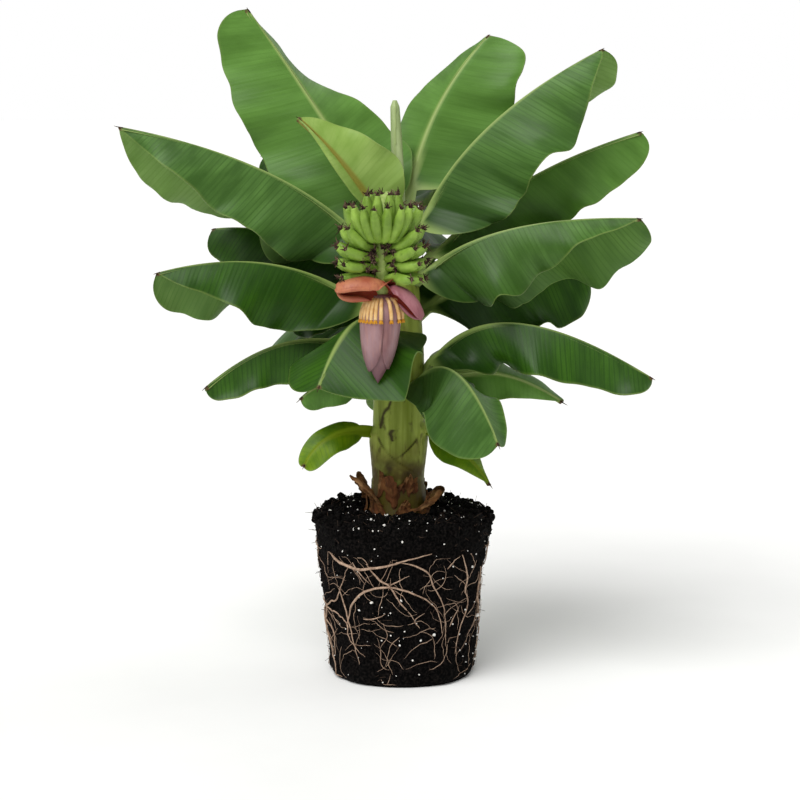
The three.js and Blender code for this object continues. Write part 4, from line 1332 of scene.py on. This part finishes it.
def bud_wrap(middle, half, tip, lift):
    """A bract wrapped round the bud, narrowing to a point."""
    shares = np.linspace(0, 1, BUD_ROWS)[:, None]
    across = np.linspace(-1, 1, WRAP_COLUMNS)[None, :]
    turns = middle + half * np.sqrt(1 - shares**WRAP_TIP_POWER) * across
    heights = mix(BUD_RINGS[0][0] - WRAP_DROP, tip, shares) + 0 * turns
    edge, edge_power = WRAP_EDGE
    tip_lift, tip_power = WRAP_TIP_LIFT
    rib, rib_turn = WRAP_RIBS
    radius = bud_radius(heights) + lift - edge * np.abs(across) ** edge_power + tip_lift * shares**tip_power
    radius = radius + rib * np.sin(turns * rib_turn)
    points = bud_axis(heights) + turned(turns) * radius[..., None]
    ring, faces, _ = shell(points, turned(turns), WRAP_THICKNESS)
    return ring, faces


def make_bud_body(material):
    """The bud: its core and the bracts wrapped round it."""
    pile = Pile()
    pile.add(*bud_core())
    for wrap in BUD_WRAPS:
        pile.add(*bud_wrap(*wrap))
    place(pile.piece("flower_bud_body", [material]), "bud", "flower_bud")


def bract_lips(points, sizes):
    """The rolled edges of a lifted bract, the lower one first."""
    edges = sorted((points[:, 0], points[:, -1]), key=lambda edge: edge[:, 2].mean())
    for edge, size in zip(edges, sizes):
        free = edge[int(LIP_STARTS * len(edge)):]
        swell = np.sin(np.pi * np.linspace(0, 1, len(free))) ** LIP_ROUND
        yield tube(free, LIP_LEAST + size * swell, LIP_SIDES)


def make_bracts(inside, backs):
    """The two lifted bracts, each with its own colour on the back and the lips."""
    for index, bract in enumerate(BRACTS):
        entry = dict(BRACT_HABIT, **bract)
        points, ups, _ = leaf_grid(entry, BRACT_BUILD, BRACT_GAP, BRACT_BOW, BRACT_LANE + index)
        ring, faces, is_under = shell(points, ups, BRACT_BUILD["thickness"])
        pile = Pile()
        pile.add_dealt(ring, faces, [int(under) for under in is_under])
        for lip in bract_lips(points, bract["lips"]):
            pile.add(*lip, 1)
        place(pile.piece("bract_lifted_%d" % index, [inside, backs[index]]), "bud")


def make_blossoms(skin, tip):
    """A row of blossoms round the bud's shoulder, each with a few teeth at its end."""
    pile = Pile()
    radii = [radius for _, _, radius in BLOSSOM_RINGS]
    for turn in BLOSSOM_TURNS:
        spokes = [(*STALK_AXIS, height) + reach * turned(turn) for height, reach, _ in BLOSSOM_RINGS]
        path = smooth_path(spokes, BLOSSOM_STEPS)
        pile.add(*tube(path, spread_over(radii, len(path)), BLOSSOM_SIDES))
        slope = unit(path[-1] - path[-2])
        for spin in np.linspace(0, 360, TOOTH_COUNT, endpoint=False):
            heading = unit(slope + TOOTH_LEAN * turned(spin + turn))
            tooth = path[-1] + heading * np.linspace(*TOOTH_REACH, len(TOOTH_RADII))[:, None]
            pile.add(*tube(tooth, TOOTH_RADII, TOOTH_SIDES), 1)
    place(pile.piece("blossoms", [skin, tip]), "bud")


# Root ball

def crumble(turns, levels):
    angles = np.radians(turns)
    waves = [share * np.sin(count * angles + shift * levels) for share, count, shift in CRUMBLE_WAVES]
    return BALL_CRUMBLE * sum(waves)


def ball_radius(turns, heights):
    """Radius of the side of the root ball."""
    share = clamp01((heights - BALL_FOOT_BEVEL) / (BALL_HEIGHT - BALL_RIM_DROP - BALL_FOOT_BEVEL))
    return mix(BALL_FOOT_RADIUS, BALL_RIM_RADIUS, share**BALL_FLARE) + crumble(turns, share * BALL_LEVELS)


def ball_side(turns, heights, lift):
    """Points on the ball's side, lifted off it."""
    turns = np.asarray(turns, float)
    heights = np.asarray(heights, float)
    return turned(turns) * (ball_radius(turns, heights) + lift)[..., None] + heights[..., None] * UP


def ball_top(turns, radius):
    """Points on the soil's top at a distance from its middle."""
    rows = [(0, 0), (BALL_SEAT_RADIUS, 0)]
    rows += [(BALL_RIM_RADIUS * share, rise) for share, rise in reversed(BALL_TOP_RINGS)]
    rows += [(BALL_RIM_RADIUS, -BALL_RIM_DROP)]
    heights = BALL_HEIGHT + np.interp(radius, *zip(*rows))
    return turned(turns) * np.asarray(radius)[..., None] + heights[..., None] * UP


def side_relief(points):
    """How far the crumbly soil stands out of the ball's smooth side."""
    return layered(points, SIDE_RELIEF) * ramp(points[..., 2], SIDE_ROUGH_FROM)


def top_relief(points):
    """How far the soil's top rises and falls; it is level round the trunk."""
    apart = np.hypot(points[..., 0], points[..., 1])
    return layered(points, TOP_RELIEF) * ramp(apart, TOP_ROUGH_FROM)


def make_soil(material):
    """The soil block: flat underside, crumbly side and rim, uneven top."""
    turns = round_turns(BALL_COLUMNS)
    bottom = np.linspace(BALL_MIDDLE, BALL_FOOT_RADIUS - BALL_FOOT_BEVEL, BALL_UNDER_ROWS)[:, None]
    side = np.arange(BALL_FOOT_BEVEL, BALL_HEIGHT - BALL_RIM_DROP + 0.1, BALL_ROW_GAP)[:, None]
    top = np.arange(BALL_RIM_RADIUS - BALL_TOP_INSET, BALL_MIDDLE, -BALL_ROW_GAP)[:, None]
    under = turned(turns) * (bottom + 0 * turns)[..., None]
    wall = ball_side(turns + 0 * side, side + 0 * turns, 0)
    cover = ball_top(turns + 0 * top, top + crumble(turns, BALL_LEVELS) * ramp(top, RIM_CRUMBLES_FROM))
    wall = wall + turned(turns) * side_relief(wall)[..., None]
    cover = cover + UP * top_relief(cover)[..., None]
    points = np.concatenate((under, wall, cover), axis=0)
    piece = make_piece("soil_block", points, ring_faces(*points.shape[:2]), [material])
    place(piece, "soil", "root_ball")


def soil_spot(top_share):
    """A place on the soil picked by chance, and the way it faces."""
    turn = random.uniform(0, 360)
    if random.uniform() < top_share:
        radius = BALL_RIM_RADIUS * math.sqrt(random.uniform(*TOP_SPOTS))
        spot = ball_top(np.array(turn), np.array(radius))
        return spot + UP * top_relief(spot), UP
    return ball_side(turn, random.uniform(LOWEST_SPOT, BALL_HEIGHT - BALL_RIM_DROP), 0), turned(turn)


def make_clods(material):
    """Clods and crumbs of soil on the top, the side and the rim, and round the trunk."""
    pile = Pile()
    base, faces = lump()
    for count, top_share, sizes in ((CLOD_COUNT, 1, CLOD_SIZES), (CRUMB_COUNT, 0, CRUMB_SIZES)):
        for _ in range(count):
            spot, outward = soil_spot(top_share)
            pile.add(crumb(base, spot + outward * CLOD_LIFT, random.uniform(*sizes)), faces)
    for _ in range(RIM_CLOD_COUNT):
        turn = random.uniform(0, 360)
        height = BALL_HEIGHT - BALL_RIM_DROP + random.uniform(*RIM_CLOD_HEIGHTS)
        spot = ball_side(turn, height, random.uniform(*RIM_CLOD_DEPTHS))
        pile.add(crumb(base, spot, random.uniform(*RIM_CLOD_SIZES)), faces)
    for _ in range(FOOT_CLOD_COUNT):
        turn = random.uniform(0, 360)
        spot = ball_top(np.array(turn), np.array(random.uniform(*FOOT_CLOD_REACH)))
        pile.add(crumb(base, spot, random.uniform(*FOOT_CLOD_SIZES)), faces)
    place(pile.piece("soil_clods", [material]), "soil")


def make_perlite(material):
    """White bits in the soil, most of them small."""
    pile = Pile()
    base, faces = lump()
    larger, power = PERLITE_LARGER
    for _ in range(PERLITE_COUNT):
        spot, outward = soil_spot(PERLITE_ON_TOP)
        size = random.uniform(*PERLITE_SIZES) + larger * random.uniform() ** power
        pile.add(crumb(base, spot + outward * PERLITE_LIFT, size), faces)
    place(pile.piece("perlite_bits", [material]), "soil")


def wander(turn, height, heading, length):
    """A path that strays over the side of the soil, as turns and heights."""
    rows = []
    for _ in range(int(length / STRAY_STEP)):
        rows.append((turn, height))
        heading += random.normal(0, STRAY_BEND)
        turn += math.degrees(STRAY_STEP * math.cos(heading) / BALL_RIM_RADIUS)
        height = min(max(height + STRAY_STEP * math.sin(heading), ROOTS_ABOVE), ROOTS_BELOW)
    return rows


def add_root(pile, rows, radius, steps):
    """A root that lies on the crumbly side of the soil, slightly sunk into it."""
    path = smooth_path(rows, steps)
    points = ball_side(path[:, 0], path[:, 1], 0)
    ridges = np.pad(side_relief(points), ROOT_SPAN, "edge")
    highest = np.max([ridges[shift:shift + len(points)] for shift in range(2 * ROOT_SPAN + 1)], axis=0)
    lift, proud = ROOT_LIFT
    points = points + turned(path[:, 0]) * (highest + lift + proud * radius)[:, None]
    shifts = [uneven(points + shift, ROOT_WOBBLE, 2) for shift in ROOT_WOBBLE_SHIFTS]
    points = points + np.stack(shifts, axis=-1)
    taper = np.interp(np.linspace(0, 1, len(points)), *zip(*ROOT_TAPER))
    pile.add(*tube(points, radius * taper * (1 + uneven(points, ROOT_KNOBS, 2)), ROOT_SIDES))


def make_roots(material):
    """Tan roots over the side of the ball: those that show on the front, and others by chance."""
    pile = Pile()
    for radius, rows in FRONT_ROOTS:
        add_root(pile, rows, radius, FRONT_ROOT_STEPS)
    for kind in STRAY_ROOTS:
        for _ in range(kind["count"]):
            turn = random.uniform(*kind["turns"])
            height = random.uniform(*kind["heights"])
            rows = wander(turn, height, random.uniform(*STRAY_HEADINGS), kind["length"])
            add_root(pile, rows, random.uniform(*kind["radii"]), STRAY_ROOT_STEPS)
    place(pile.piece("roots", [material]), "soil")


def make_fibres(material):
    """Dark fibres that stick out of the soil."""
    pile = Pile()
    for _ in range(FIBRE_COUNT):
        spot, outward = soil_spot(FIBRE_ON_TOP)
        heading = unit(outward * FIBRE_OUTWARD + random.normal(0, THREAD_STRAY, 3))
        pile.add(*thread(spot, heading, SOIL_FIBRE))
    place(pile.piece("soil_fibres", [material]), "soil")


# Stage

def make_floor():
    form = bmesh.new()
    bmesh.ops.create_circle(form, cap_ends=True, segments=FLOOR_SIDES, radius=FLOOR_RADIUS)
    mesh = bpy.data.meshes.new("floor")
    form.to_mesh(mesh)
    form.free()
    mesh.materials.append(fine_material("floor_paint", "#f4f4f2", "#fafaf8", 3.0, 0.9))
    floor = add_object("floor", mesh)


def make_sky():
    """Even soft light from all round, in front of plain white."""
    world = bpy.data.worlds.new("sky")
    bpy.context.scene.world = world
    world.use_nodes = True
    tree = world.node_tree
    white = add_node(tree, "Background", {"Color": (1, 1, 1, 1), "Strength": 1.0})[0]
    soft = add_node(tree, "Background", {"Color": (1, 1, 1, 1), "Strength": SKY_LIGHT})[0]
    seen = add_node(tree, "LightPath", {})["Is Camera Ray"]
    sky = add_node(tree, "MixShader", {0: seen, 1: soft, 2: white})[0]
    tree.links.new(sky, tree.nodes["World Output"].inputs["Surface"])


def make_lamps():
    for index, (spot, strength, spread_angle) in enumerate(LIGHTS):
        light = bpy.data.lights.new("light_%d" % index, "SUN")
        light.energy = strength
        light.angle = math.radians(spread_angle)
        lamp = add_object("light_%d" % index, light)
        lamp.location = spot
        lamp.rotation_euler = Vector(spot).to_track_quat("Z", "Y").to_euler()


def make_camera():
    lens = bpy.data.cameras.new("camera")
    lens.lens = CAMERA_LENS
    lens.sensor_width = CAMERA_SENSOR
    camera = add_object("camera", lens)
    camera.location = CAMERA_PLACE
    camera.rotation_euler = (math.radians(CAMERA_PITCH), 0, 0)
    bpy.context.scene.camera = camera
    bpy.context.scene.view_settings.view_transform = "Standard"


def make_root_ball():
    soil = soil_material()
    make_soil(soil)
    make_clods(soil)
    make_perlite(fine_material("perlite", "#d8d4cb", "#f6f4ef", 700.0, 0.8))
    make_roots(fine_material("root_skin", "#7c6250", "#c0a48c", 300.0, 0.7))
    make_fibres(fine_material("fibre_skin", "#2a1f18", "#4d3a2c", 300.0, 0.85))


def make_crown(husk, old_sheath, withered):
    """The trunk with its scraps, the leaves and the husks."""
    leaf_looks = leaf_materials()
    make_trunk(trunk_material())
    make_collars([old_sheath, husk])
    for lane, (name, leaf) in enumerate(LEAVES.items()):
        make_leaf(name, leaf, leaf_looks[leaf["age_and_light"]], lane)
    make_rolled_leaf(leaf_looks["rolled"][0])
    make_dry_tips(withered)
    for lane, (name, entry) in enumerate(HUSKS.items()):
        make_husk(name, entry, old_sheath if name == "husk_front" else husk, HUSK_LANE + lane)


def make_flower():
    make_bud_body(bloomed_material("bud_skin", "#80595a", "#a08083", "#aa7d74", 0.45, "#54303c"))
    backs = [
        bloomed_material("bract_back_left", "#a2563e", "#bb7654", "#93483e", 0.42),
        bloomed_material("bract_back_right", "#874c55", "#a06a70", "#7a3f48", 0.42),
    ]
    make_bracts(bloomed_material("bract_inside", "#8a3026", "#b05440", "#963c30", 0.4), backs)
    make_blossoms(
        fine_material("blossom", "#cf9f5c", "#e6c48c", 200.0, 0.5),
        fine_material("blossom_tip", "#b87812", "#d29a26", 300.0, 0.55),
    )


def make_plant():
    husk = dry_material("dry_husk", "#3a2312", "#7a5230", "#ab845a", (60, 60, 220))
    old_sheath = dry_material("old_sheath", "#3a2214", "#6a4126", "#845c36", (160, 160, 14))
    withered = [
        dry_material("withered_dark", "#1d1412", "#3d2a24", "#5d463a", (200, 200, 200)),
        dry_material("withered_tan", "#3f2f26", "#6b5445", "#94806c", (200, 200, 200)),
    ]
    stalk = fine_material("fruit_stalk_skin", "#7f9a45", "#a9bd6d", 200.0, 0.5)
    make_root_ball()
    make_crown(husk, old_sheath, withered[0])
    make_fruit(fruit_material(), stalk, withered)
    make_flower()


make_floor()
make_sky()
make_lamps()
make_camera()
make_plant()
